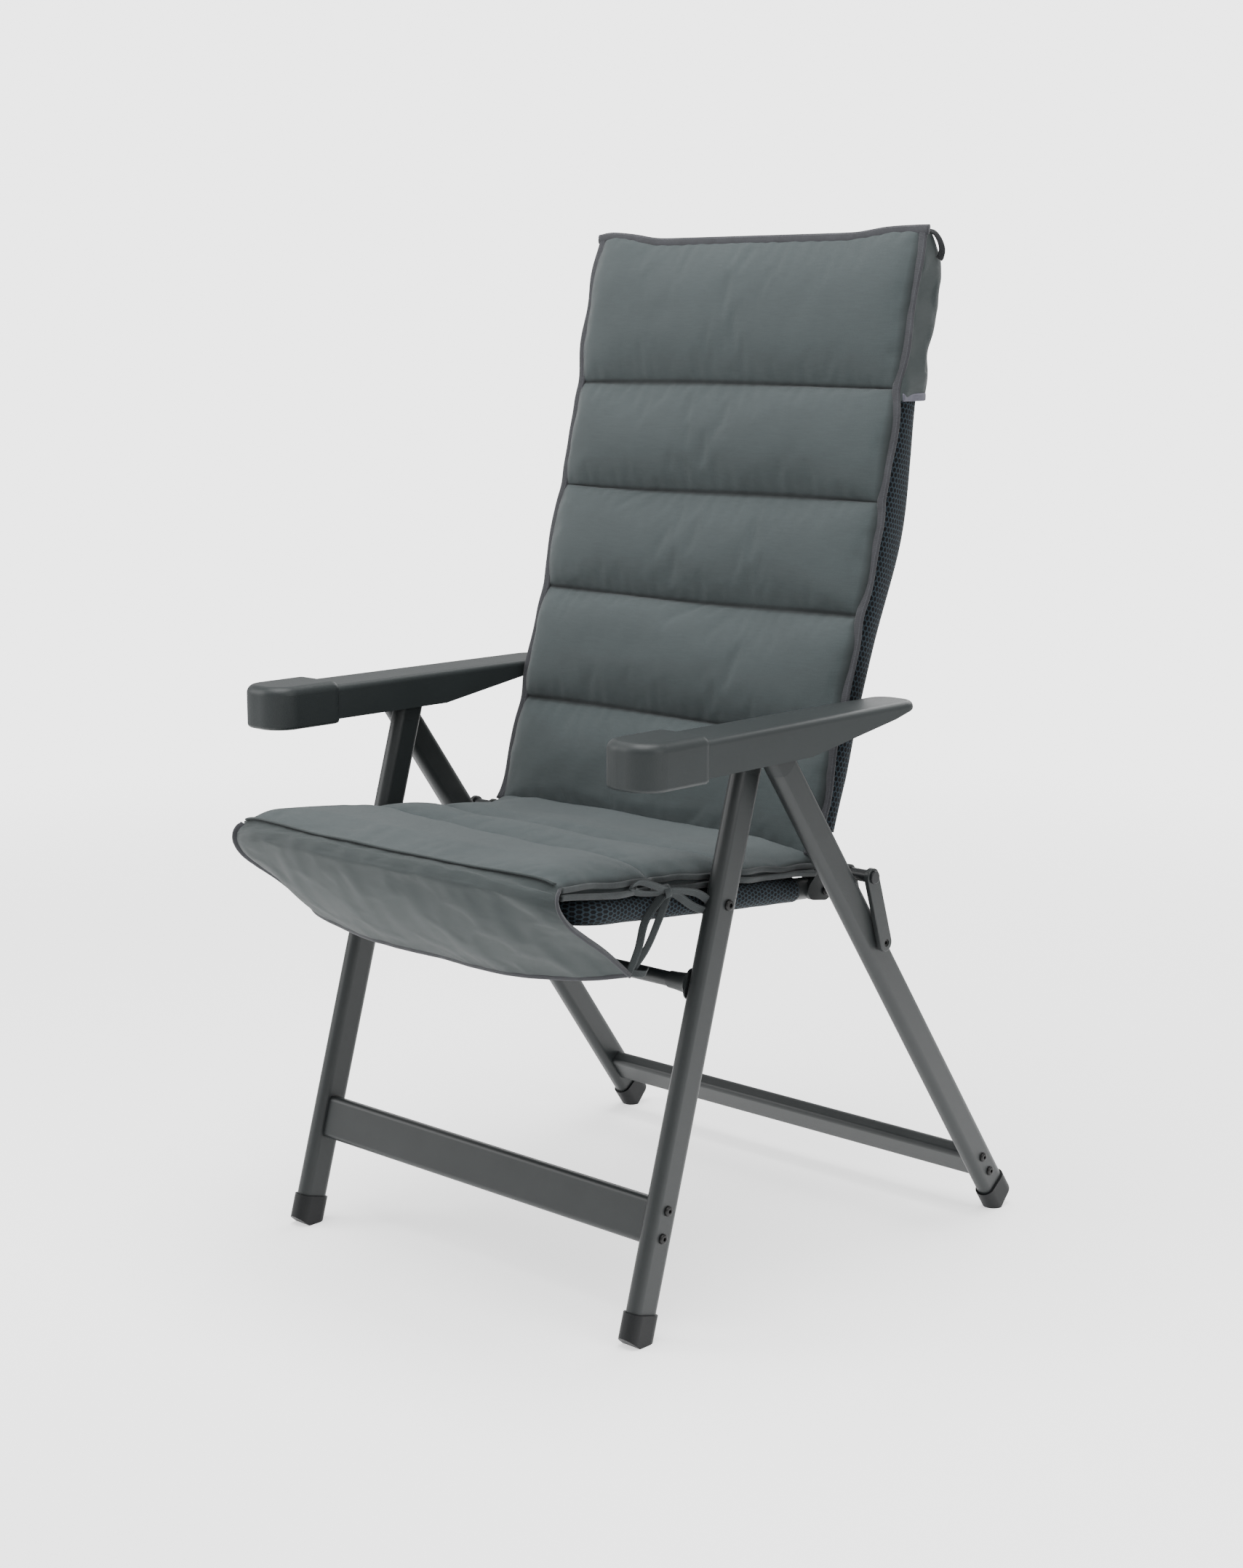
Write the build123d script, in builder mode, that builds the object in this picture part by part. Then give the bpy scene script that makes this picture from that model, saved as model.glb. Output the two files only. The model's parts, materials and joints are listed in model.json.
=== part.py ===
from build123d import *
import math
import os

# Reclining folding armchair.  Millimetres, +Z up, the sitter faces -Y, and the origin is on the
# floor under the middle of the chair.  "left" is the sitter's left, on the +X side.
# Most members lie in planes across X, so their places are (y, z) pairs in the side view.

os.makedirs("parts", exist_ok=True)

# ------------------------------------------------------------------ pivots in the side view (y, z)
APEX = (-86.0, 621.0)  # both legs and the armrest's toothed rack meet here
SEAT_PIVOT = (-131.0, 458.0)  # seat rail on the front leg
BACK_PIVOT = (69.0, 462.0)  # seat, back and link plates on one shaft
LINK_PIVOT = (95.0, 382.0)  # link plates on the rear leg
# The armrest's rear pivot closes a parallelogram with the three pivots above.
ARM_PIVOT = (
    BACK_PIVOT[0] + APEX[0] - SEAT_PIVOT[0],
    BACK_PIVOT[1] + APEX[1] - SEAT_PIVOT[1],
)

# ------------------------------------------------------------------ legs and their crossbars
FRONT_LEAN = 16.3  # degrees from vertical, foot forward
REAR_LEAN = -35.8  # degrees from vertical, foot backward
FRONT_LEG_X = 270.0
REAR_LEG_X = 303.0
LEG_WIDTH = 20.0
LEG_DEPTH = 38.0
LEG_ROUND = 9.0
LEG_WALL = 1.6
PLUG_REACH = 27.0  # the top plug fills the leg's end this far from the apex pin
FOOT_PROUD = 2.5
FOOT_HEIGHT = 33.0
FRONT_BAR = (50.0, 20.0)
REAR_BAR = (40.0, 20.0)
BAR_ROUND = 6.0
BAR_WALL = 1.5
FRONT_BAR_Z = 126.5
REAR_BAR_Z = 63.5
INSERT_LENGTH = 22.0
BAR_BOLT_PITCH = {"front": 30.0, "rear": 26.0}

# ------------------------------------------------------------------ brace between the front legs
BRACE_CENTRE = (-167.0, 374.5)
BRACE_RADIUS = 8.2
BRACE_WALL = 1.4
SOCKET_LENGTH = 30.0

# ------------------------------------------------------------------ seat and back tubes
TUBE_RADIUS = 12.5
TUBE_WALL = 1.5
RAIL_X = 243.0
BACK_TUBE_X = 237.5
SEAT_SLOPE = 5.3  # degrees, the front edge is the higher one
RAIL_FRONT = -156.0  # along the rail from the seat pivot
RAIL_REAR = 164.0
SEAT_FRONT = -200.0
SEAT_BEND = 40.0
CROSS_TUBE_RADIUS = 9.0
BACK_TAIL = 14.0  # tube below the back pivot
BACK_KNEES = ((119.0, 640.0), (174.0, 810.0))
BACK_TOP = (247.0, 1150.0)
BACK_BEND = 900.0
PLATE_X = (252.0, 257.5)
BRACKET_BOLT = (64.0, 438.0)
BRACKET_NECK = 10.0
SPIGOT_LENGTH = 16.0
REAR_TUBE_AT = 134.0
SHAFT_X = (220.0, 323.0)
BUSH_X = (224.0, 250.3)
AXLE_RADIUS = 11.0
AXLE_WALL = 2.0
INNER_LINK_X = (284.0, 289.0)
OUTER_LINK_X = (315.5, 321.5)
LINK_ROUND = 10.0
LINK_SCREW_RADIUS = 4.2
BACK_TOP_TUBE_Z = 1136.0

# ------------------------------------------------------------------ fits and fasteners
RUNNING = 0.05  # radial clearance of a shaft that turns
STATIC = 0.02  # radial clearance of a bolt that doesn't
APEX_PIN_RADIUS = 5.0
PIVOT_BOLT_RADIUS = 4.0
SHAFT_RADIUS = 5.0
BUSH_RADIUS = 7.0
BAR_BOLT_RADIUS = 3.0
ARM_PIN_RADIUS = 5.5

# ------------------------------------------------------------------ armrests
ARM_INNER_X = 254.0
ARM_OUTER_X = (321.5, 314.0)  # outer face at the nose end and at the tail
ARM_NOSE_X = (251.0, 324.5)
ARM_UNDER_Z = 611.0
ARM_TOP_Z = 651.0
ARM_WALL = 3.0
NOSE_UNDER_Z = 606.0
NOSE_TOP_Z = 656.0
NOSE_FRONT_Y = -308.0
NOSE_REAR_Y = -208.0
ARM_TAIL_Y = 161.0
CHANNEL_FRONT_Y = -212.0
CHANNEL_REAR_Y = 132.0
RACK_X = 286.5
RACK_WIDTH = 9.0
RACK_TEETH_Z = 628.6
NOTCH_PITCH = 15.0
NOTCH_COUNT = 7
RACK_Y = (-200.0, -58.0)
RACK_SCREWS_Y = (-188.5, -63.0)
RACK_SCREW_RADIUS = 1.8
ARM_PIN_X = (220.5, 261.0)
ARM_PIN_HEAD = 9.5
ARM_LUG_RADIUS = 10.0
ARM_TAPER = ((-39, 605), (170, 605), (170, 646), (161, 645), (113, 634), (-39, 611))

# ------------------------------------------------------------------ cloth parts
SLING_SKIN = 1.5
SLING_LIFT = 12.7
SLING_PANEL = 2.3
BACK_LIFT = 14.0  # the back panel lies a little further off, clear of the tubes' bends
BACK_PAD_BEHIND = 16.7
PAD_BACK = 15.8
PAD_FRONT = 38.0
SEAT_PAD_X = 252.0
BACK_PAD_X = 250.0
BACK_PAD_Z = (488.0, 1174.0)
HOOD_HEM_Z = 982.0
HOOD_X = 253.6
HOOD_SKIN = 1.8
SLING_REAR = 150.0  # along the rail
BACK_SLING_Z = (500.0, 1120.0)
SEAT_PAD_ALONG = (-226.0, 177.0)
FLAP_X = 253.0
FLAP_FRONT = ((-358, 514), (-364, 500), (-353, 466), (-306, 384))
FLAP_REAR = ((-301, 387), (-347.5, 467), (-358.8, 500.5), (-354, 514))
FLAP_CORNER = (-262, 402)
HOOD_OUTLINE = ((252, 982), (281, 1081), (276, 1141), (262, 1170), (240, 1178), (214, 1178), (166, 982))
HOOD_HOLLOW = ((250, 980), (279, 1081), (274, 1140), (261, 1168), (240, 1176), (160, 1176), (160, 980))
CORNER_LOOP = (248.0, 1150.0)
TAPE_WIDTH = 9.0
TAPE_THICK = 1.2
TAPE_ROUTES = (
    (257.5, ((-266, 409), (-251, 435), (-239, 459), (-226, 474))),
    (259.0, ((-254, 421), (-237, 440), (-222, 456), (-212, 468))),
)
BOW_X = 260.5
BOW_KNOT = (-212.0, 484.0)
BOW_LOOPS = (
    ((-212, 484), (-250, 495), 4.0, 9.0),
    ((-212, 484), (-172, 462), 4.0, 9.0),
)


# ------------------------------------------------------------------ helpers
def save(piece, name):
    """Label a finished piece and write it to its own STEP file."""
    piece.label = name
    export_step(piece, f"parts/{name}.step")


def save_sides(piece, name):
    """Write a piece built on the left and its mirror image on the right."""
    save(piece, f"{name}_left")
    save(mirror(piece, about=Plane.YZ), f"{name}_right")


def across(x, point):
    """Plane facing +X at a side-view point, for holes, pins and bolts."""
    return Plane(origin=(x, point[0], point[1]), x_dir=(0, 1, 0), z_dir=(1, 0, 0))


def member(x, point, lean):
    """Plane square to a member that leans `lean` degrees, with its width along X."""
    tilt = math.radians(lean)
    return Plane(
        origin=(x, point[0], point[1]),
        x_dir=(1, 0, 0),
        z_dir=(0, math.sin(tilt), math.cos(tilt)),
    )


def below_apex(lean, z):
    """Side-view point at height z on the line of a leg through the apex."""
    return (APEX[0] - (APEX[1] - z) * math.tan(math.radians(lean)), z)


def seat_point(along, above=0.0):
    """Side-view point `along` the seat rail from its pivot and `above` its centre line."""
    tilt = math.radians(SEAT_SLOPE)
    y = SEAT_PIVOT[0] + along * math.cos(tilt) + above * math.sin(tilt)
    z = SEAT_PIVOT[1] - along * math.sin(tilt) + above * math.cos(tilt)
    return (y, z)


def seat_plane(above=0.0):
    """Plane parallel to the seat: local Y runs backward along the rails."""
    return member(0, seat_point(0, above), SEAT_SLOPE)


def back_end(distance):
    """Side-view point on the back tube's lowest run, `distance` below the back pivot."""
    run = (BACK_KNEES[0][0] - BACK_PIVOT[0], BACK_KNEES[0][1] - BACK_PIVOT[1])
    size = math.hypot(*run)
    return (BACK_PIVOT[0] - run[0] / size * distance, BACK_PIVOT[1] - run[1] / size * distance)


def back_y(z, ahead=0.0):
    """Y of a line that runs `ahead` of the back tube's centre, at height z."""
    stations = [BACK_PIVOT, *BACK_KNEES, BACK_TOP]
    for (y0, z0), (y1, z1) in zip(stations, stations[1:]):
        slope = (y1 - y0) / (z1 - z0)
        if z <= z1 or (y1, z1) == BACK_TOP:
            return y0 + slope * (z - z0) - ahead * math.hypot(1, slope)


def back_heights(low, high):
    """Heights of a back outline's corners: its two ends and the knees between them."""
    return [low, *[knee[1] for knee in BACK_KNEES if low < knee[1] < high], high]


BACK_LEAN = math.degrees(
    math.atan2(BACK_KNEES[0][0] - BACK_PIVOT[0], BACK_KNEES[0][1] - BACK_PIVOT[1])
)
TOP_LEAN = math.degrees(math.atan2(BACK_TOP[0] - BACK_KNEES[1][0], BACK_TOP[1] - BACK_KNEES[1][1]))
FRONT_BAR_AT = below_apex(FRONT_LEAN, FRONT_BAR_Z)
REAR_BAR_AT = below_apex(REAR_LEAN, REAR_BAR_Z)


# ------------------------------------------------------------------ legs
def leg(x, lean, end_z, holes):
    """Hollow oval leg from its foot to the hollow cut that seats the top plug."""
    length = (APEX[1] - end_z) / math.cos(math.radians(lean))
    with BuildPart() as tube:
        with BuildSketch(member(x, APEX, lean)):
            RectangleRounded(LEG_WIDTH, LEG_DEPTH, LEG_ROUND)
            RectangleRounded(
                LEG_WIDTH - 2 * LEG_WALL,
                LEG_DEPTH - 2 * LEG_WALL,
                LEG_ROUND - LEG_WALL,
                mode=Mode.SUBTRACT,
            )
        extrude(amount=-length)
        with Locations(across(x, APEX)):
            Cylinder(PLUG_REACH, 2 * LEG_WIDTH, mode=Mode.SUBTRACT)
        for point, radius in holes:
            with Locations(across(x, point)):
                Cylinder(radius, 2 * LEG_WIDTH, mode=Mode.SUBTRACT)
    return tube.part


def leg_plug(x, lean, pin_hole):
    """Solid pivot head: the leg's own section with a round end, bored for the apex pin."""
    with BuildPart() as plug:
        with BuildSketch(member(x, APEX, lean)):
            RectangleRounded(LEG_WIDTH, LEG_DEPTH, LEG_ROUND)
        extrude(amount=-2 * PLUG_REACH)
        with BuildSketch(member(x, APEX, lean)):
            RectangleRounded(LEG_WIDTH, LEG_DEPTH, LEG_ROUND)
            Rectangle(
                2 * LEG_WIDTH, LEG_DEPTH, align=(Align.CENTER, Align.MAX), mode=Mode.SUBTRACT
            )
        revolve(axis=Axis((x, APEX[0], APEX[1]), (1, 0, 0)))
        with Locations(across(x, APEX)):
            Cylinder(PLUG_REACH - RUNNING, 2 * LEG_WIDTH, mode=Mode.INTERSECT)
            Cylinder(pin_hole, 2 * LEG_WIDTH, mode=Mode.SUBTRACT)
        mirror(about=Plane.YZ)
    return plug.part


def bar_bolt_points(bar_at, lean, pitch):
    """The two bolt centres of a crossbar, along its leg."""
    tilt = math.radians(lean)
    reach = pitch / 2
    step = (reach * math.sin(tilt), reach * math.cos(tilt))
    return [(bar_at[0] + s * step[0], bar_at[1] + s * step[1]) for s in (-1, 1)]


FRONT_BOLTS = bar_bolt_points(FRONT_BAR_AT, FRONT_LEAN, BAR_BOLT_PITCH["front"])
REAR_BOLTS = bar_bolt_points(REAR_BAR_AT, REAR_LEAN, BAR_BOLT_PITCH["rear"])
BOLT_HOLE = BAR_BOLT_RADIUS + STATIC
FRONT_LEG_END_Z = 10.0
REAR_LEG_END_Z = 16.0

front_holes = [(point, BOLT_HOLE) for point in FRONT_BOLTS]
front_holes.append((SEAT_PIVOT, PIVOT_BOLT_RADIUS + STATIC))
rear_holes = [(point, BOLT_HOLE) for point in REAR_BOLTS]
save_sides(leg(FRONT_LEG_X, FRONT_LEAN, FRONT_LEG_END_Z, front_holes), "front_leg")
save_sides(leg(REAR_LEG_X, REAR_LEAN, REAR_LEG_END_Z, rear_holes), "rear_leg")
save(leg_plug(FRONT_LEG_X, FRONT_LEAN, APEX_PIN_RADIUS + STATIC), "front_leg_top_plugs")
save(leg_plug(REAR_LEG_X, REAR_LEAN, APEX_PIN_RADIUS + RUNNING), "rear_leg_top_plugs")


# ------------------------------------------------------------------ feet
def feet(x, lean, end_z, sole):
    """Pair of boots over the leg ends; `sole` is their outline round the floor line (y, z)."""
    floor_at = below_apex(lean, 0.0)
    leg_end = member(x, below_apex(lean, end_z), lean)
    rim = FOOT_HEIGHT / math.cos(math.radians(lean))
    with BuildPart() as boots:
        with BuildSketch(member(x, floor_at, lean).offset(rim)):
            RectangleRounded(
                LEG_WIDTH + 2 * FOOT_PROUD, LEG_DEPTH + 2 * FOOT_PROUD, LEG_ROUND + FOOT_PROUD
            )
        extrude(amount=-2 * FOOT_HEIGHT - rim)
        with BuildSketch(across(x, floor_at)):
            with BuildLine():
                Polyline(*sole, close=True)
            make_face()
            fillet(vertices().filter_by_position(Axis.Z, -1, 30), radius=3.5)
        extrude(amount=LEG_WIDTH, both=True, mode=Mode.INTERSECT)
        with BuildSketch(leg_end):
            RectangleRounded(LEG_WIDTH, LEG_DEPTH, LEG_ROUND)
        extrude(amount=2 * FOOT_HEIGHT, mode=Mode.SUBTRACT)
        mirror(about=Plane.YZ)
    return boots.part


FRONT_SOLE = ((-5, 0), (18, 0), (27, 9), (60, 90), (-60, 90), (-60, 45), (-22, 15))
REAR_SOLE = ((-60, 0), (-14, 0), (7, 23), (12, 50), (12, 90), (-60, 90))
save(feet(FRONT_LEG_X, FRONT_LEAN, FRONT_LEG_END_Z, FRONT_SOLE), "front_feet")
save(feet(REAR_LEG_X, REAR_LEAN, REAR_LEG_END_Z, REAR_SOLE), "rear_feet")


# ------------------------------------------------------------------ crossbars
def bar_section_plane(x, bar_at, lean):
    """Plane across a crossbar, its local X along the leg."""
    tilt = math.radians(lean)
    return Plane(
        origin=(x, bar_at[0], bar_at[1]),
        x_dir=(0, math.sin(tilt), math.cos(tilt)),
        z_dir=(1, 0, 0),
    )


def crossbar(leg_x, bar_at, lean, size):
    """Hollow rounded bar between the inner faces of two legs."""
    reach = leg_x - LEG_WIDTH / 2
    with BuildPart() as bar:
        with BuildSketch(bar_section_plane(-reach, bar_at, lean)):
            RectangleRounded(*size, BAR_ROUND)
            RectangleRounded(
                size[0] - 2 * BAR_WALL,
                size[1] - 2 * BAR_WALL,
                BAR_ROUND - BAR_WALL,
                mode=Mode.SUBTRACT,
            )
        extrude(amount=2 * reach)
    return bar.part


def bar_inserts(leg_x, bar_at, lean, size, pitch):
    """Threaded blocks pressed into both ends of a crossbar."""
    reach = leg_x - LEG_WIDTH / 2
    gap = 2 * (BAR_WALL + STATIC)
    plane = bar_section_plane(reach, bar_at, lean)
    with BuildPart() as blocks:
        with BuildSketch(plane):
            RectangleRounded(size[0] - gap, size[1] - gap, BAR_ROUND - BAR_WALL)
            with GridLocations(pitch, 0, 2, 1):
                Circle(BOLT_HOLE, mode=Mode.SUBTRACT)
        extrude(amount=-INSERT_LENGTH)
        mirror(about=Plane.YZ)
    return blocks.part


def bar_bolts(leg_x, bar_at, lean, pitch):
    """Button-head hexagon-socket bolts through both legs into the crossbar's inserts."""
    head_radius = 5.6
    head_height = 3.2
    socket_radius = 2.3
    plane = bar_section_plane(leg_x + LEG_WIDTH / 2, bar_at, lean)
    with BuildPart() as bolts:
        with BuildSketch(plane):
            with GridLocations(pitch, 0, 2, 1):
                Circle(head_radius)
        extrude(amount=head_height)
        fillet(faces().group_by(Axis.X)[-1].edges(), radius=2.2)
        with BuildSketch(plane.offset(head_height)):
            with GridLocations(pitch, 0, 2, 1):
                RegularPolygon(socket_radius, 6)
        extrude(amount=-2, mode=Mode.SUBTRACT)
        with BuildSketch(plane):
            with GridLocations(pitch, 0, 2, 1):
                Circle(BAR_BOLT_RADIUS)
        extrude(amount=-LEG_WIDTH - INSERT_LENGTH + 2)
        mirror(about=Plane.YZ)
    return bolts.part


CROSSBARS = {
    "front": (FRONT_LEG_X, FRONT_BAR_AT, FRONT_LEAN, FRONT_BAR),
    "rear": (REAR_LEG_X, REAR_BAR_AT, REAR_LEAN, REAR_BAR),
}
for end, (leg_x, bar_at, lean, size) in CROSSBARS.items():
    pitch = BAR_BOLT_PITCH[end]
    save(crossbar(leg_x, bar_at, lean, size), f"{end}_crossbar")
    save(bar_inserts(leg_x, bar_at, lean, size, pitch), f"{end}_crossbar_inserts")
    save(bar_bolts(leg_x, bar_at, lean, pitch), f"{end}_crossbar_bolts")


# ------------------------------------------------------------------ brace and its trumpet sockets
FRONT_INNER_X = FRONT_LEG_X - LEG_WIDTH / 2

with BuildPart() as brace:
    reach = FRONT_INNER_X - 4
    with BuildSketch(across(-reach, BRACE_CENTRE)):
        Circle(BRACE_RADIUS)
        Circle(BRACE_RADIUS - BRACE_WALL, mode=Mode.SUBTRACT)
    extrude(amount=2 * reach)
save(brace.part, "under_seat_brace")

with BuildPart() as sockets:
    mouth = FRONT_INNER_X - SOCKET_LENGTH
    bore = BRACE_RADIUS + STATIC
    centre = Vector(0, BRACE_CENTRE[0], BRACE_CENTRE[1])
    with BuildSketch(Plane(origin=centre, x_dir=(1, 0, 0), z_dir=(0, -1, 0))):
        with BuildLine():
            Line((mouth, bore), (mouth, bore + 1.2))
            Spline(
                (mouth, bore + 1.2),
                (mouth + SOCKET_LENGTH * 0.55, bore + 2.2),
                (FRONT_INNER_X - 2, bore + 4.6),
                tangents=((1, 0), (1, 0.45)),
            )
            Polyline(
                (FRONT_INNER_X - 2, bore + 4.6),
                (FRONT_INNER_X - 2, 0),
                (FRONT_INNER_X - 3.5, 0),
                (FRONT_INNER_X - 3.5, bore),
                (mouth, bore),
            )
        make_face()
    revolve(axis=Axis(centre, (1, 0, 0)))
    with BuildSketch(bar_section_plane(FRONT_INNER_X, BRACE_CENTRE, FRONT_LEAN)):
        RectangleRounded(34, 20, 9)
    extrude(amount=-2)
    mirror(about=Plane.YZ)
save(sockets.part, "brace_sockets")


# ------------------------------------------------------------------ pins and bolts of the pivots
with BuildPart() as apex_pins:
    inner = FRONT_INNER_X - 1.6
    outer = REAR_LEG_X + LEG_WIDTH / 2 + 0.3
    with BuildSketch(across(inner, APEX)):
        Circle(APEX_PIN_RADIUS)
    extrude(amount=outer - inner)
    for face_x, direction in ((FRONT_INNER_X, -1), (outer, 1)):
        with BuildSketch(across(face_x, APEX)):
            Circle(APEX_PIN_RADIUS + 3)
        extrude(amount=1.6 * direction)
    mirror(about=Plane.YZ)
save(apex_pins.part, "apex_pins")

with BuildPart() as pivot_bolts:
    head = across(FRONT_LEG_X + LEG_WIDTH / 2, SEAT_PIVOT)
    nut = across(RAIL_X - TUBE_RADIUS - 0.4, SEAT_PIVOT)
    with BuildSketch(head):
        Circle(6.2)
    extrude(amount=3.4)
    fillet(faces().group_by(Axis.X)[-1].edges(), radius=2.4)
    with BuildSketch(head.offset(3.4)):
        RegularPolygon(2.8, 6)
    extrude(amount=-2.2, mode=Mode.SUBTRACT)
    with BuildSketch(head):
        Circle(PIVOT_BOLT_RADIUS)
    extrude(amount=-(LEG_WIDTH + 44))
    with BuildSketch(nut):
        RegularPolygon(7.2, 6)
    extrude(amount=-5.5)
    mirror(about=Plane.YZ)
save(pivot_bolts.part, "seat_pivot_bolts")

with BuildPart() as washers:
    with BuildSketch(across(FRONT_INNER_X, SEAT_PIVOT)):
        Circle(8.5)
        Circle(PIVOT_BOLT_RADIUS + STATIC, mode=Mode.SUBTRACT)
    extrude(amount=-(FRONT_INNER_X - RAIL_X - TUBE_RADIUS - 0.3))
    mirror(about=Plane.YZ)
save(washers.part, "seat_pivot_washers")


# ------------------------------------------------------------------ seat frame
with BuildPart() as rail:
    with BuildSketch(member(RAIL_X, seat_point(RAIL_FRONT), SEAT_SLOPE - 90)):
        Circle(TUBE_RADIUS)
        Circle(TUBE_RADIUS - TUBE_WALL, mode=Mode.SUBTRACT)
    extrude(amount=RAIL_FRONT - RAIL_REAR)
    with Locations(across(RAIL_X, SEAT_PIVOT)):
        Cylinder(PIVOT_BOLT_RADIUS + RUNNING, 3 * TUBE_RADIUS, mode=Mode.SUBTRACT)
save_sides(rail.part, "seat_rail")

with BuildPart() as front_tube:
    with BuildLine(seat_plane()) as bend:
        FilletPolyline(
            (RAIL_X, RAIL_FRONT),
            (RAIL_X, SEAT_FRONT),
            (-RAIL_X, SEAT_FRONT),
            (-RAIL_X, RAIL_FRONT),
            radius=SEAT_BEND,
        )
    with BuildSketch(Plane(origin=bend.line @ 0, z_dir=bend.line % 0)):
        Circle(TUBE_RADIUS)
        Circle(TUBE_RADIUS - TUBE_WALL, mode=Mode.SUBTRACT)
    sweep()
save(front_tube.part, "seat_front_tube")


def cross_tube(point, half_length, radius, wall):
    """Straight tube across the chair."""
    with BuildPart() as tube:
        with BuildSketch(across(-half_length, point)):
            Circle(radius)
            Circle(radius - wall, mode=Mode.SUBTRACT)
        extrude(amount=2 * half_length)
    return tube.part


rear_tube_blank = cross_tube(seat_point(REAR_TUBE_AT), RAIL_X, CROSS_TUBE_RADIUS, TUBE_WALL)
with BuildPart() as rear_tube:
    add(rear_tube_blank)
    for side in (-1, 1):
        with BuildSketch(member(side * RAIL_X, seat_point(RAIL_FRONT), SEAT_SLOPE - 90)):
            Circle(TUBE_RADIUS + STATIC)
        extrude(amount=RAIL_FRONT - RAIL_REAR, mode=Mode.SUBTRACT)
save(rear_tube.part, "seat_rear_tube")



def hull_plate(x_range, discs):
    """Flat plate across X round discs given as ((y, z), radius)."""
    with BuildPart() as plate:
        with BuildSketch(across(x_range[0], (0, 0))):
            with BuildLine():
                for centre, radius in discs:
                    CenterArc(centre, radius, 0, 360)
            make_hull()
        extrude(amount=x_range[1] - x_range[0])
    return plate.part


# Castings in the rails' rear ends carry the shaft that the back and the link plates turn on.
bracket_plate = hull_plate(
    PLATE_X,
    (
        (seat_point(RAIL_REAR + 12), 11.5),
        (BRACKET_BOLT, 11.0),
        (BACK_PIVOT, 11.5),
    ),
)
with BuildPart() as brackets:
    add(bracket_plate)
    with BuildSketch(member(RAIL_X, seat_point(RAIL_REAR), 90 + SEAT_SLOPE)):
        Circle(TUBE_RADIUS)
    extrude(amount=BRACKET_NECK)
    with BuildSketch(member(RAIL_X, seat_point(RAIL_REAR), 90 + SEAT_SLOPE)):
        Circle(TUBE_RADIUS - TUBE_WALL - STATIC)
    extrude(amount=-SPIGOT_LENGTH)
    with Locations(across(PLATE_X[0], BACK_PIVOT)):
        Cylinder(SHAFT_RADIUS + STATIC, 4 * TUBE_RADIUS, mode=Mode.SUBTRACT)
    with Locations(across(PLATE_X[0], BRACKET_BOLT)):
        Cylinder(BOLT_HOLE, 4 * TUBE_RADIUS, mode=Mode.SUBTRACT)
    mirror(about=Plane.YZ)
save(brackets.part, "seat_hinge_brackets")

with BuildPart() as bracket_bolts:
    with BuildSketch(across(PLATE_X[1], BRACKET_BOLT)):
        Circle(5.2)
    extrude(amount=2.4)
    fillet(faces().group_by(Axis.X)[-1].edges(), radius=1.6)
    with BuildSketch(across(PLATE_X[1] + 2.4, BRACKET_BOLT)):
        RegularPolygon(2.2, 6)
    extrude(amount=-1.6, mode=Mode.SUBTRACT)
    with BuildSketch(across(PLATE_X[1], BRACKET_BOLT)):
        Circle(BAR_BOLT_RADIUS)
    extrude(amount=PLATE_X[0] - PLATE_X[1] - 3)
    mirror(about=Plane.YZ)
save(bracket_bolts.part, "seat_bracket_bolts")

with BuildPart() as shafts:
    with BuildSketch(across(SHAFT_X[0], BACK_PIVOT)):
        Circle(SHAFT_RADIUS)
    extrude(amount=SHAFT_X[1] - SHAFT_X[0])
    with BuildSketch(across(SHAFT_X[0], BACK_PIVOT)):
        Circle(8)
    extrude(amount=1.8)
    with BuildSketch(across(OUTER_LINK_X[1] + 0.3, BACK_PIVOT)):
        Circle(7.2)
    extrude(amount=2.6)
    fillet(faces().group_by(Axis.X)[-1].edges(), radius=0.8)
    with BuildSketch(across(INNER_LINK_X[1] + 0.3, BACK_PIVOT)):
        Circle(7)
    extrude(amount=OUTER_LINK_X[0] - INNER_LINK_X[1] - 0.6)
    with BuildSketch(across(PLATE_X[1] + 0.1, BACK_PIVOT)):
        Circle(7)
    extrude(amount=INNER_LINK_X[0] - PLATE_X[1] - 0.4)
    mirror(about=Plane.YZ)
save(shafts.part, "hinge_shafts")


# ------------------------------------------------------------------ link plates
def link_plate(x_range):
    """Flat bar from the back pivot down to the rear leg, with round ends."""
    blank = hull_plate(x_range, ((BACK_PIVOT, LINK_ROUND), (LINK_PIVOT, LINK_ROUND)))
    with BuildPart() as plate:
        add(blank)
        fillet(faces().group_by(Axis.X)[-1].edges(), radius=1.2)
        with Locations(across(x_range[0], BACK_PIVOT)):
            Cylinder(SHAFT_RADIUS + RUNNING, 30, mode=Mode.SUBTRACT)
        with Locations(across(x_range[0], LINK_PIVOT)):
            Cylinder(LINK_SCREW_RADIUS + STATIC, 30, mode=Mode.SUBTRACT)
    return plate.part


save_sides(link_plate(OUTER_LINK_X), "link_outer_plate")
save_sides(link_plate(INNER_LINK_X), "link_inner_plate")

with BuildPart() as link_screws:
    with BuildSketch(across(OUTER_LINK_X[1] - 0.8, LINK_PIVOT)):
        Circle(LINK_SCREW_RADIUS)
    extrude(amount=OUTER_LINK_X[0] - OUTER_LINK_X[1] - 0.6)
    with BuildSketch(across(OUTER_LINK_X[1] - 0.8, LINK_PIVOT)):
        RegularPolygon(2.4, 6)
    extrude(amount=-3, mode=Mode.SUBTRACT)
    with BuildSketch(across(INNER_LINK_X[0], LINK_PIVOT)):
        Circle(LINK_SCREW_RADIUS)
    extrude(amount=INNER_LINK_X[1] - INNER_LINK_X[0] + 2.5)
    with BuildSketch(across(INNER_LINK_X[0], LINK_PIVOT)):
        Circle(6)
    extrude(amount=-1.8)
save_sides(link_screws.part, "link_screws")


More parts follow.
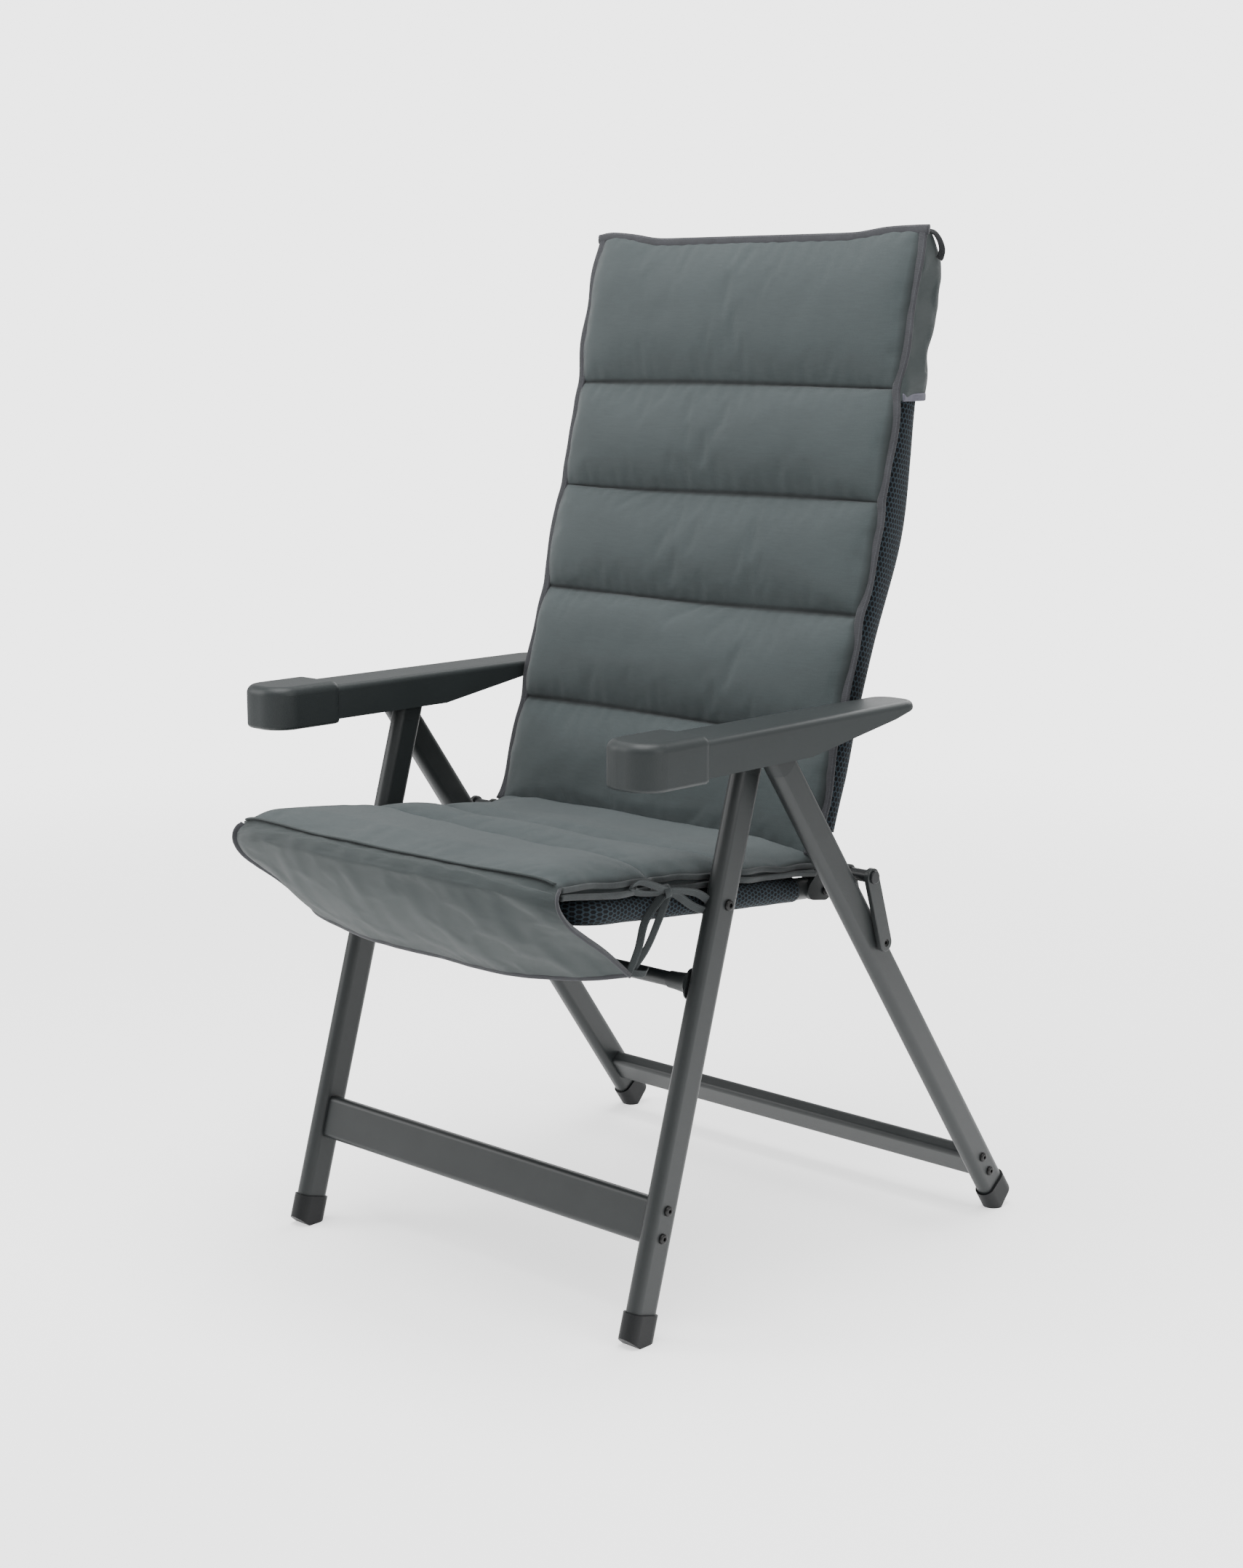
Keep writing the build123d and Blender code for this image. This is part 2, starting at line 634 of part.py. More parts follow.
# ------------------------------------------------------------------ back frame
def back_tube(outer, inner, low, high):
    """Ring section swept up the bent back tube between two side-view points."""
    knees = [knee for knee in BACK_KNEES if low[1] < knee[1] < high[1]]
    route = [(point[0], point[1]) for point in (low, *knees, high)]
    with BuildPart() as tube:
        with BuildLine(across(BACK_TUBE_X, (0, 0))) as path:
            FilletPolyline(*route, radius=BACK_BEND)
        with BuildSketch(Plane(origin=path.line @ 0, z_dir=path.line % 0)):
            Circle(outer)
            Circle(inner, mode=Mode.SUBTRACT)
        sweep()
    return tube.part


tube_blank = back_tube(TUBE_RADIUS, TUBE_RADIUS - TUBE_WALL, back_end(BACK_TAIL), BACK_TOP)
with BuildPart() as drilled_tube:
    add(tube_blank)
    with Locations(across(BACK_TUBE_X, BACK_PIVOT)):
        Cylinder(BUSH_RADIUS + RUNNING, 3 * TUBE_RADIUS, mode=Mode.SUBTRACT)
    with Locations(across(BACK_TUBE_X, ARM_PIVOT)):
        Cylinder(ARM_PIN_RADIUS + RUNNING, 3 * TUBE_RADIUS, mode=Mode.SUBTRACT)
save_sides(drilled_tube.part, "back_tube")

with BuildPart() as bushes:
    with BuildSketch(across(BUSH_X[0], BACK_PIVOT)):
        Circle(BUSH_RADIUS)
    extrude(amount=BUSH_X[1] - BUSH_X[0])
    with BuildSketch(across(BUSH_X[1], BACK_PIVOT)):
        Circle(BUSH_RADIUS + 2)
    extrude(amount=1.1)
    with Locations(across(BACK_TUBE_X, BACK_PIVOT)):
        Cylinder(SHAFT_RADIUS + RUNNING, 3 * TUBE_RADIUS, mode=Mode.SUBTRACT)
    mirror(about=Plane.YZ)
save(bushes.part, "back_hinge_bushes")

# The axle tube joins the two bushes, so that both sides of the back turn together.
save(cross_tube(BACK_PIVOT, BUSH_X[0], AXLE_RADIUS, AXLE_WALL), "hinge_axle")

TUBE_END_CAPS = (
    (back_end(BACK_TAIL), BACK_LEAN, -1),
    (BACK_TOP, TOP_LEAN, 1),
)
with BuildPart() as tube_plugs:
    for point, lean, outward in TUBE_END_CAPS:
        with BuildSketch(member(BACK_TUBE_X, point, lean)):
            Circle(TUBE_RADIUS)
        extrude(amount=3 * outward)
    for point, lean, outward in TUBE_END_CAPS[1:]:
        with BuildSketch(member(BACK_TUBE_X, point, lean)):
            Circle(TUBE_RADIUS - TUBE_WALL - STATIC)
        extrude(amount=-14 * outward)
    mirror(about=Plane.YZ)
save(tube_plugs.part, "back_tube_plugs")


def top_cross_tube(z, radius):
    """Tube across the back frame, its ends cut to fit round the side tubes."""
    low = (back_y(z - 40), z - 40)
    high = (back_y(z + 40), z + 40)
    lean = math.degrees(math.atan2(high[0] - low[0], 80))
    blank = cross_tube((back_y(z), z), BACK_TUBE_X, radius, TUBE_WALL)
    with BuildPart() as tube:
        add(blank)
        for side in (-1, 1):
            with BuildSketch(member(side * BACK_TUBE_X, (back_y(z), z), lean)):
                Circle(TUBE_RADIUS + 4 * STATIC)
            extrude(amount=60, both=True, mode=Mode.SUBTRACT)
    return tube.part


save(top_cross_tube(BACK_TOP_TUBE_Z, 10.5), "back_top_tube")


# ------------------------------------------------------------------ slings
rail_sleeve_radius = TUBE_RADIUS + 0.2
with BuildPart() as seat_sling:
    with BuildSketch(seat_plane(SLING_LIFT)):
        with Locations((0, (SEAT_FRONT + SLING_REAR) / 2)):
            RectangleRounded(500, SLING_REAR - SEAT_FRONT, 42)
    extrude(amount=SLING_PANEL)
    with BuildSketch(member(RAIL_X, seat_point(-150), SEAT_SLOPE - 90)):
        Circle(rail_sleeve_radius + SLING_SKIN)
    extrude(amount=-150 - SLING_REAR)
    with BuildSketch(across(-190, seat_point(SEAT_FRONT))):
        Circle(rail_sleeve_radius + SLING_SKIN)
    extrude(amount=190)
    with BuildSketch(member(RAIL_X, seat_point(-156), SEAT_SLOPE - 90)):
        Circle(rail_sleeve_radius)
    extrude(amount=-170 - SLING_REAR, mode=Mode.SUBTRACT)
    with BuildSketch(across(-200, seat_point(SEAT_FRONT))):
        Circle(rail_sleeve_radius)
    extrude(amount=200, mode=Mode.SUBTRACT)
    with BuildSketch(across(0, seat_point(REAR_TUBE_AT))):
        Circle(CROSS_TUBE_RADIUS + 0.4)
    extrude(amount=RAIL_X, mode=Mode.SUBTRACT)
    with Locations(across(RAIL_X, SEAT_PIVOT)):
        Cylinder(10, 4 * TUBE_RADIUS, mode=Mode.SUBTRACT)
    split(bisect_by=Plane.YZ, keep=Keep.TOP)
    mirror(about=Plane.YZ)
save(seat_sling.part, "seat_sling_mesh")


def back_slab(behind, ahead, low, high, half_width):
    """Bent slab along the back between two distances ahead of the tubes' centre line."""
    front = [(back_y(z, ahead), z) for z in back_heights(low, high)]
    rear = [(back_y(z, behind), z) for z in back_heights(low, high)]
    with BuildPart() as slab:
        with BuildSketch(across(-half_width, (0, 0))):
            with BuildLine():
                Polyline(*front, *reversed(rear), close=True)
            make_face()
        extrude(amount=2 * half_width)
    return slab.part


def on_back(z):
    """Side-view point of the back tube's centre line at height z."""
    return (back_y(z), z)


sling_slab = back_slab(BACK_LIFT, BACK_LIFT + SLING_PANEL, *BACK_SLING_Z, 250)
sleeve = back_tube(
    rail_sleeve_radius + SLING_SKIN,
    rail_sleeve_radius,
    on_back(BACK_SLING_Z[0] + 5),
    on_back(BACK_SLING_Z[1] - 4),
)
with BuildPart() as back_sling:
    add(sleeve)
    add(mirror(sleeve, about=Plane.YZ))
    add(sling_slab)
    for side in (-1, 1):
        with Locations(across(side * BACK_TUBE_X, ARM_PIVOT)):
            Cylinder(ARM_PIN_HEAD + 0.8, 4 * TUBE_RADIUS, mode=Mode.SUBTRACT)
save(back_sling.part, "back_sling_mesh")

# ------------------------------------------------------------------ pads, flap and hood
with BuildPart() as seat_pad:
    with BuildSketch(seat_plane(PAD_BACK)):
        with Locations((0, (SEAT_PAD_ALONG[0] + SEAT_PAD_ALONG[1]) / 2)):
            RectangleRounded(2 * SEAT_PAD_X, SEAT_PAD_ALONG[1] - SEAT_PAD_ALONG[0], 14)
    extrude(amount=PAD_FRONT - PAD_BACK)
    fillet(faces().sort_by(Axis.Z)[-1].edges(), radius=7)
save(seat_pad.part, "seat_pad")

save(back_slab(BACK_PAD_BEHIND, PAD_FRONT, *BACK_PAD_Z, BACK_PAD_X), "back_pad")

with BuildPart() as flap:
    with BuildSketch(across(-FLAP_X, (0, 0))):
        with BuildLine():
            Polyline(*FLAP_FRONT, *FLAP_REAR, close=True)
        make_face()
    extrude(amount=2 * FLAP_X)
    for side in (-1, 1):
        with BuildSketch(across(side * FLAP_X, (0, 0))):
            with BuildLine():
                Polyline(FLAP_FRONT[2], FLAP_FRONT[3], FLAP_CORNER, close=True)
            make_face()
        extrude(amount=-5 * side)
save(flap.part, "front_flap")

with BuildPart() as hood:
    with BuildSketch(across(-HOOD_X, (0, 0))):
        with BuildLine():
            Polyline(*HOOD_OUTLINE, close=True)
        make_face()
    extrude(amount=2 * HOOD_X)
    with BuildSketch(across(-HOOD_X + HOOD_SKIN, (0, 0))):
        with BuildLine():
            Polyline(*HOOD_HOLLOW, close=True)
        make_face()
    extrude(amount=2 * (HOOD_X - HOOD_SKIN), mode=Mode.SUBTRACT)
save(hood.part, "back_hood")

with BuildPart() as corner_loop:
    with BuildSketch(across(HOOD_X + 0.2, CORNER_LOOP)):
        RectangleRounded(14, 30, 3)
    extrude(amount=2)
save(corner_loop.part, "corner_tape_loop")

# ------------------------------------------------------------------ tie tapes and their bows
with BuildPart() as tapes:
    for x, route in TAPE_ROUTES:
        with BuildSketch(across(x, (0, 0))):
            with BuildLine():
                Polyline(*route)
            trace(line_width=TAPE_WIDTH)
        extrude(amount=TAPE_THICK)
save_sides(tapes.part, "tie_tapes")

bow_blank = hull_plate((BOW_X, BOW_X + 6), ((BOW_KNOT, 7.0), (BOW_KNOT, 6.9)))
with BuildPart() as bow:
    for start, tip, root, end in BOW_LOOPS:
        with BuildSketch(across(BOW_X + 1.5, (0, 0))):
            with BuildLine():
                CenterArc(start, root, 0, 360)
                CenterArc(tip, end, 0, 360)
            make_hull()
        extrude(amount=2.5)
    add(bow_blank)
save_sides(bow.part, "tie_bow")


# ------------------------------------------------------------------ armrests
def arm_wall_x(y, inset=0.0):
    """X of the armrest's outer face at y, less an inset."""
    share = (y - NOSE_REAR_Y) / (ARM_TAIL_Y - NOSE_REAR_Y)
    return ARM_OUTER_X[0] + (ARM_OUTER_X[1] - ARM_OUTER_X[0]) * share - inset


with BuildPart() as nose:
    nose_centre = (sum(ARM_NOSE_X) / 2, (NOSE_REAR_Y + NOSE_FRONT_Y) / 2)
    with BuildSketch(Plane.XY.offset(NOSE_UNDER_Z)) as nose_plan:
        with Locations(nose_centre):
            Rectangle(ARM_NOSE_X[1] - ARM_NOSE_X[0], NOSE_REAR_Y - NOSE_FRONT_Y)
        fillet(nose_plan.vertices().sort_by(Axis.Y)[:2], radius=30)
        fillet(nose_plan.vertices().sort_by(Axis.Y)[-2:], radius=12)
    extrude(amount=NOSE_TOP_Z - NOSE_UNDER_Z)
    fillet(faces().sort_by(Axis.Z)[0].edges(), radius=4)
    fillet(faces().sort_by(Axis.Z)[-1].edges(), radius=10)

with BuildPart() as armrest:
    with BuildSketch(Plane.XY.offset(ARM_UNDER_Z)):
        with BuildLine():
            Polyline(
                (ARM_INNER_X, NOSE_REAR_Y - 6),
                (arm_wall_x(NOSE_REAR_Y), NOSE_REAR_Y - 6),
                (arm_wall_x(ARM_TAIL_Y), ARM_TAIL_Y),
                (ARM_INNER_X, ARM_TAIL_Y),
                close=True,
            )
        make_face()
        fillet(vertices().sort_by(Axis.Y)[-2:], radius=24)
    extrude(amount=ARM_TOP_Z - ARM_UNDER_Z)
    fillet(faces().sort_by(Axis.Z)[-1].edges(), radius=7)
    with BuildSketch(across(ARM_INNER_X - 5, (0, 0))):
        with BuildLine():
            Polyline(*ARM_TAPER, close=True)
        make_face()
    extrude(amount=90, mode=Mode.SUBTRACT)
    add(nose.part)
    with BuildSketch(Plane.XY.offset(NOSE_UNDER_Z - 1)):
        with BuildLine():
            Polyline(
                (ARM_INNER_X + ARM_WALL, CHANNEL_FRONT_Y),
                (arm_wall_x(CHANNEL_FRONT_Y, ARM_WALL), CHANNEL_FRONT_Y),
                (arm_wall_x(CHANNEL_REAR_Y, ARM_WALL), CHANNEL_REAR_Y),
                (ARM_INNER_X + ARM_WALL, CHANNEL_REAR_Y),
                close=True,
            )
        make_face()
    extrude(amount=ARM_TOP_Z - ARM_WALL - NOSE_UNDER_Z + 1, mode=Mode.SUBTRACT)
    with BuildSketch(across(ARM_INNER_X, ARM_PIVOT)):
        Circle(ARM_LUG_RADIUS)
        Rectangle(2 * ARM_LUG_RADIUS, 16, align=(Align.CENTER, Align.MIN))
    extrude(amount=ARM_WALL)
    with Locations(across(ARM_INNER_X, ARM_PIVOT)):
        Cylinder(ARM_PIN_RADIUS + RUNNING, 20, mode=Mode.SUBTRACT)
    for y in RACK_SCREWS_Y:
        with Locations(Plane.XY.offset(ARM_TOP_Z - ARM_WALL)):
            with Locations((RACK_X, y)):
                Cylinder(RACK_SCREW_RADIUS + STATIC, 4, mode=Mode.SUBTRACT)
save_sides(armrest.part, "armrest")

rack_top = ARM_TOP_Z - ARM_WALL - STATIC
with BuildPart() as rack:
    with BuildSketch(across(RACK_X - RACK_WIDTH / 2, (0, 0))):
        with Locations(((RACK_Y[0] + RACK_Y[1]) / 2, (RACK_TEETH_Z + rack_top) / 2)):
            Rectangle(RACK_Y[1] - RACK_Y[0], rack_top - RACK_TEETH_Z)
        for notch in range(NOTCH_COUNT):
            with Locations((APEX[0] - NOTCH_PITCH * notch, RACK_TEETH_Z + 1)):
                Circle(APEX_PIN_RADIUS + 0.3, mode=Mode.SUBTRACT)
    extrude(amount=RACK_WIDTH)
    for y in RACK_SCREWS_Y:
        with Locations(Plane.XY.offset(rack_top)):
            with Locations((RACK_X, y)):
                Cylinder(RACK_SCREW_RADIUS + STATIC, 60, mode=Mode.SUBTRACT)
save_sides(rack.part, "ratchet_rack")

with BuildPart() as rack_screws:
    for y in RACK_SCREWS_Y:
        with BuildSketch(Plane.XY.offset(RACK_TEETH_Z)):
            with Locations((RACK_X, y)):
                Circle(RACK_SCREW_RADIUS)
        extrude(amount=ARM_TOP_Z - 1.4 - RACK_TEETH_Z)
save_sides(rack_screws.part, "rack_screws")

with BuildPart() as arm_pin:
    with BuildSketch(across(ARM_PIN_X[0], ARM_PIVOT)):
        Circle(ARM_PIN_RADIUS)
    extrude(amount=ARM_PIN_X[1] - ARM_PIN_X[0])
    for head_x, direction in ((ARM_PIN_X[0], 1), (ARM_PIN_X[1], -1)):
        with BuildSketch(across(head_x, ARM_PIVOT)):
            Circle(ARM_PIN_HEAD)
        extrude(amount=3.5 * direction)
save_sides(arm_pin.part, "arm_pivot_pin")
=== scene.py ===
import json
import math

import bpy
import numpy as np
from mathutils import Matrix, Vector


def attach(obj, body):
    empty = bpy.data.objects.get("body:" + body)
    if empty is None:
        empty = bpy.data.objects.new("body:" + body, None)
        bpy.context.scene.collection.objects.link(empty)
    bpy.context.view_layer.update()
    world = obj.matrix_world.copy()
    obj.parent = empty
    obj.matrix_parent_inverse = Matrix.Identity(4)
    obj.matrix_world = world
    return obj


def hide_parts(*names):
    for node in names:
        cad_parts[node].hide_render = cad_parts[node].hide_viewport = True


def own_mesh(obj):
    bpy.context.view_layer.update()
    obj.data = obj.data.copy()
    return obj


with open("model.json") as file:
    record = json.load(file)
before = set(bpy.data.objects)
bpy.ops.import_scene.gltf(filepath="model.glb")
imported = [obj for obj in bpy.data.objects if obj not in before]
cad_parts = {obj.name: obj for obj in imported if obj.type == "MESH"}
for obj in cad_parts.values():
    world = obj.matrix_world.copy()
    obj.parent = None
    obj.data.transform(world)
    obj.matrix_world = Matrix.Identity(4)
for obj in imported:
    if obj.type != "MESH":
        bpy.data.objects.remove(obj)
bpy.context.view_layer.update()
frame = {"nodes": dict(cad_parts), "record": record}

# Reclining folding armchair. Metres, +Z up, the sitter faces -Y, "left" is the sitter's left (+X).

# ------------------------------------------------------------------ the chair's driving lines
SEAT_PIVOT = np.array([-0.131, 0.458])  # y, z
SEAT_SLOPE = math.radians(5.3)  # the rails fall towards the back
BACK_PIVOT = np.array([0.069, 0.462])  # y, z
BACK_KNEES = (0.640, 0.810)  # heights of the back tubes' two bends
BACK_SLOPES = (0.2809, 0.3235, 0.2147)  # y per z below, between and above the bends
TUBE_X = {"seat": 0.243, "back": 0.2375}
SLEEVE_RADIUS = 0.0142
MESH_THICKNESS = 0.0011
SLING_LOW, SLING_HIGH = 0.502, 1.116  # heights of the back sling's ends
BACK_SEAMS = (0.473, 0.601, 0.735, 0.864, 0.992, 1.163)
CHANNEL = 0.129  # a back channel's usual height
BACK_HALF = 0.250
HOOD_HALF = 0.2550
HOOD_TOP = 1.1755
SEAT_REAR = 0.186
SEAT_HALF = 0.2515
CORNER_RADIUS = 0.040  # of the seat tube, on its centre line
SLING_FRONT, SLING_REAR = -0.200, 0.150  # along the rails, from the seat's pivot


# ------------------------------------------------------------------ shader nodes as expressions
class Signal:
    """A shader output that takes +, -, *, / and % with numbers and other outputs."""

    def __init__(self, finish, socket):
        self.finish = finish
        self.socket = socket

    def _with(self, operation, *terms):
        values = dict(enumerate(terms))
        return self.finish.node("ShaderNodeMath", {"operation": operation}, values)

    def __add__(self, other):
        return self._with("ADD", self, other)

    __radd__ = __add__

    def __sub__(self, other):
        return self._with("SUBTRACT", self, other)

    def __rsub__(self, other):
        return self._with("SUBTRACT", other, self)

    def __mul__(self, other):
        return self._with("MULTIPLY", self, other)

    __rmul__ = __mul__

    def __truediv__(self, other):
        return self._with("DIVIDE", self, other)

    def __rtruediv__(self, other):
        return self._with("DIVIDE", other, self)

    def __mod__(self, other):
        return self._with("FLOORED_MODULO", self, other)

    def __abs__(self):
        return self._with("ABSOLUTE", self)

    def over(self, edge):
        return self._with("GREATER_THAN", self, edge)

    def sine(self):
        return self._with("SINE", self)

    def least(self, other):
        return self._with("MINIMUM", self, other)

    def most(self, other):
        return self._with("MAXIMUM", self, other)


class Finish:
    """One material: a Principled shader and the nodes that drive it."""

    def __init__(self, name, **constants):
        self.material = bpy.data.materials.new(name)
        self.material.use_nodes = True
        self.tree = self.material.node_tree
        self.shader = self.tree.nodes["Principled BSDF"]
        for socket, value in constants.items():
            self.shader.inputs[socket.replace("_", " ")].default_value = value

    def node(self, kind, settings=None, values=None, output=0):
        """Add a node with its settings, feed its sockets, and return one of its outputs."""
        node = self.tree.nodes.new(kind)
        for setting, value in (settings or {}).items():
            if setting == "stops":
                for element, (place, colour) in zip(node.color_ramp.elements, value):
                    element.position = place
                    element.color = (*colour, 1)
            else:
                setattr(node, setting, value)
        for socket, value in (values or {}).items():
            self.feed(node.inputs[socket], value)
        return Signal(self, node.outputs[output])

    def feed(self, socket, value):
        """Link a socket to an output or set its constant."""
        if isinstance(value, Signal):
            self.tree.links.new(value.socket, socket)
        else:
            socket.default_value = value

    def drive(self, **values):
        """Feed the Principled shader's sockets."""
        for socket, value in values.items():
            self.feed(self.shader.inputs[socket.replace("_", " ")], value)

    def place(self):
        """Object coordinates, in metres."""
        return self.node("ShaderNodeTexCoord", output="Object")

    def cloth_uv(self):
        """The piece's own UV, in metres along and across the cloth, as two values."""
        uv = self.node("ShaderNodeUVMap", {"uv_map": "cloth"})
        parts = self.node("ShaderNodeSeparateXYZ", {}, {0: uv})
        return parts, Signal(self, parts.socket.node.outputs[1])

    def noise(self, where, scale, detail=3.0, roughness=0.55):
        """Fractal noise of a given number of grains per metre."""
        values = {"Vector": where, "Scale": scale, "Detail": detail, "Roughness": roughness}
        return self.node("ShaderNodeTexNoise", {"noise_dimensions": "3D"}, values)

    def blend(self, share, first, second):
        """Colour that goes from the first to the second as share goes from 0 to 1."""
        values = {0: share, 6: (*first, 1) if isinstance(first, tuple) else first,
                  7: (*second, 1) if isinstance(second, tuple) else second}
        return self.node("ShaderNodeMix", {"data_type": "RGBA"}, values, output=2)

    def bump(self, height, strength, distance):
        """Normal of a height map; strength and distance are constants."""
        values = {"Height": height, "Strength": strength, "Distance": distance}
        return self.node("ShaderNodeBump", {}, values)


def shaded(colour, share):
    """A colour made lighter or darker."""
    return tuple(channel * share for channel in colour)


def woven(name, colour, light=1.25, dark=0.72, thread=0.0009, sheen=0.12, seam=False):
    """Fine plain weave: crossing threads, a heathered mix of two tones and soft larger patches."""
    finish = Finish(name, Specular_IOR_Level=0.25, Sheen_Weight=sheen, Sheen_Roughness=0.45)
    along, across = finish.cloth_uv()
    place = finish.place()
    turn = 2 * math.pi / thread
    weft = (along * turn).sine() * (across * turn).sine()
    heather = finish.noise(place, 950.0, 2.0)
    patches = finish.noise(place, 11.0, 4.0)
    drawn = finish.node("ShaderNodeVectorMath", {"operation": "MULTIPLY"},
                        {0: place, 1: (60.0, 60.0, 900.0)})
    slub = finish.noise(drawn, 1.0, 2.0)
    tone = 0.5 * heather + 0.22 * patches + 0.28 * slub + 0.05 * weft
    shade = finish.blend((tone - 0.5) * 1.7 + 0.5, shaded(colour, dark), shaded(colour, light))
    # With seam, the seam attribute blends in painted shade at 0.22 of the colour: the shade in the seam
    # creases and along the edges under the bindings.
    if seam:
        seam_shade = finish.node("ShaderNodeAttribute", {"attribute_name": "seam"}, output="Fac")
        shade = finish.blend(seam_shade, shade, shaded(colour, 0.22))
    relief = 0.6 * weft + 0.8 * heather + 2.0 * patches
    finish.drive(Base_Color=shade, Roughness=0.74 + 0.2 * heather,
                 Normal=finish.bump(relief, 0.35, 0.0006))
    return finish.material


def stitched_tape(name, colour, width, light=1.2):
    """Ribbed tape with a row of stitches near its inner edge, along the tape's own UV."""
    finish = Finish(name, Specular_IOR_Level=0.25, Sheen_Weight=0.1, Sheen_Roughness=0.5)
    along, across = finish.cloth_uv()
    place = finish.place()
    rib_pitch, stitch_pitch, stitch_gap, row_width = 0.0012, 0.0042, 0.0006, 0.0006
    rib = (along * (2 * math.pi / rib_pitch)).sine()
    heather = finish.noise(place, 800.0, 2.0)
    dash = ((along % stitch_pitch) - stitch_gap).over(0.0)
    row = 1.0 - (abs(across - 0.30 * width) / row_width).least(1.0)
    stitch = dash * row
    worn = finish.noise(place, 60.0, 3.0)
    share = (heather + worn - 1.0) * 1.5 + 0.5
    ground = finish.blend(share, shaded(colour, 0.75), shaded(colour, light))
    shade = finish.blend(stitch * 0.75, ground, shaded(colour, 1.9))
    relief = 0.35 * rib + 0.6 * heather + 1.6 * stitch + 1.5 * worn
    finish.drive(Base_Color=shade, Roughness=0.7 + 0.2 * heather,
                 Normal=finish.bump(relief, 0.45, 0.0007))
    return finish.material


def spacer_mesh(name, thread_colour, painted_hole_shade, pitch, stretch):
    """Knitted spacer mesh: a lattice of hexagonal holes with raised threads between them.

    Two rectangular lattices, offset by half a cell, give the nearest hole's centre; the distance
    to the hexagon's sides is the larger of |x| and |x|/2 + |y|*sqrt(3)/2.
    """
    finish = Finish(name, Specular_IOR_Level=0.15, Sheen_Weight=0.03)
    along, across = finish.cloth_uv()
    x, y = across * (1 / pitch), along * (1 / (pitch * stretch))
    tall = math.sqrt(3.0)
    ax, ay = (x % 1.0) - 0.5, (y % tall) - tall / 2
    bx, by = ((x - 0.5) % 1.0) - 0.5, ((y - tall / 2) % tall) - tall / 2

    def reach(p, q):
        return abs(p).most(abs(p) * 0.5 + abs(q) * (tall / 2))

    edge = reach(ax, ay).least(reach(bx, by)) * 2.0
    place = finish.place()
    fuzz = finish.noise(place, 900.0, 2.0)
    patches = finish.noise(place, 14.0, 3.0)
    hole_size, sharpness = 0.62, 5.0
    wall = ((edge + 0.16 * (fuzz - 0.5) - hole_size) * sharpness).most(0.0).least(1.0)
    mixed = 0.5 * fuzz + 0.5 * patches
    yarn = finish.blend(mixed, shaded(thread_colour, 0.6), shaded(thread_colour, 1.45))
    # The holes are painted near black: painted shade inside the mesh's open holes, with a little fuzz.
    depth = finish.blend(fuzz, painted_hole_shade, shaded(painted_hole_shade, 2.2))
    finish.drive(Base_Color=finish.blend(wall, depth, yarn), Roughness=0.6 + 0.3 * fuzz,
                 Normal=finish.bump(wall + 0.3 * fuzz, 1.0, 0.0016))
    return finish.material


def powder_coat(name, colour, roughness=0.4, grain=1500.0):
    """Satin powder coat: fine orange peel, speckle and slightly rubbed patches."""
    finish = Finish(name, Specular_IOR_Level=0.34, Coat_Roughness=0.35)
    place = finish.place()
    peel = finish.noise(place, grain, 2.0)
    speckle = finish.noise(place, 2600.0, 1.0)
    rubbed = finish.noise(place, 22.0, 5.0)
    tone = 0.45 * speckle + 0.3 * peel + 0.25 * rubbed
    share = (tone - 0.5) * 2.2 + 0.5
    finish.drive(
        Base_Color=finish.blend(share, shaded(colour, 0.72), shaded(colour, 1.32)),
        Roughness=roughness - 0.06 + 0.1 * rubbed + 0.06 * peel,
        Coat_Weight=0.06 * rubbed,
        Normal=finish.bump(peel + 0.4 * speckle, 0.22, 0.0004),
    )
    return finish.material


def moulded(name, colour, roughness, grain, depth):
    """Moulded plastic: spark-eroded grain with faint flow patches."""
    finish = Finish(name, Specular_IOR_Level=0.26)
    place = finish.place()
    cells = finish.node("ShaderNodeTexVoronoi", {"feature": "F1"},
                        {"Vector": place, "Scale": grain})
    fine = finish.noise(place, grain * 1.6, 2.0)
    flow = finish.noise(place, 16.0, 4.0)
    share = 0.55 * flow + 0.45 * fine
    finish.drive(
        Base_Color=finish.blend(share, shaded(colour, 0.78), shaded(colour, 1.22)),
        Roughness=roughness - 0.05 + 0.12 * flow,
        Normal=finish.bump(cells + 0.6 * fine, depth, 0.0003),
    )
    return finish.material


def blackened_steel(name, colour):
    """Black-oxide steel: a fine blast and a few rubbed spots."""
    finish = Finish(name, Specular_IOR_Level=0.5)
    place = finish.place()
    blast = finish.noise(place, 2200.0, 2.0)
    rubbed = finish.noise(place, 130.0, 4.0)
    finish.drive(
        Base_Color=finish.blend(rubbed, shaded(colour, 0.7), shaded(colour, 1.7)),
        Metallic=0.75 + 0.2 * rubbed,
        Roughness=0.34 + 0.22 * rubbed,
        Normal=finish.bump(blast, 0.2, 0.0002),
    )
    return finish.material


def pale_floor(name, colour):
    """Plain pale studio floor with the faintest unevenness, which fades out round the chair."""
    finish = Finish(name, Specular_IOR_Level=0.05, Emission_Strength=1.0)
    place = finish.place()
    broad = finish.noise(place, 0.8, 2.0)
    away = finish.node("ShaderNodeVectorMath", {"operation": "LENGTH"}, {0: place}, output="Value")
    gone, fade_width = 3.4, 2.2
    fade = ((gone - away) / fade_width).most(0.0).least(1.0)
    finish.drive(Base_Color=finish.blend(broad, shaded(colour, 0.985), colour), Roughness=0.9,
                 Emission_Color=(0.9, 0.9, 0.9, 1), Alpha=fade * fade * (3.0 - 2.0 * fade))
    return finish.material


# ------------------------------------------------------------------ grids, paths and meshes
def grid_quads(rows, columns):
    """Quads of a rows-by-columns grid; their normal is (along a row) x (from row to row)."""
    index = np.arange(rows * columns).reshape(rows, columns)
    return quads_of(index)


def quads_of(index):
    """Quads between the neighbours of a two-dimensional array of vertex numbers."""
    corners = (index[:-1, :-1], index[:-1, 1:], index[1:, 1:], index[1:, :-1])
    return np.stack([c.ravel() for c in corners], axis=1)


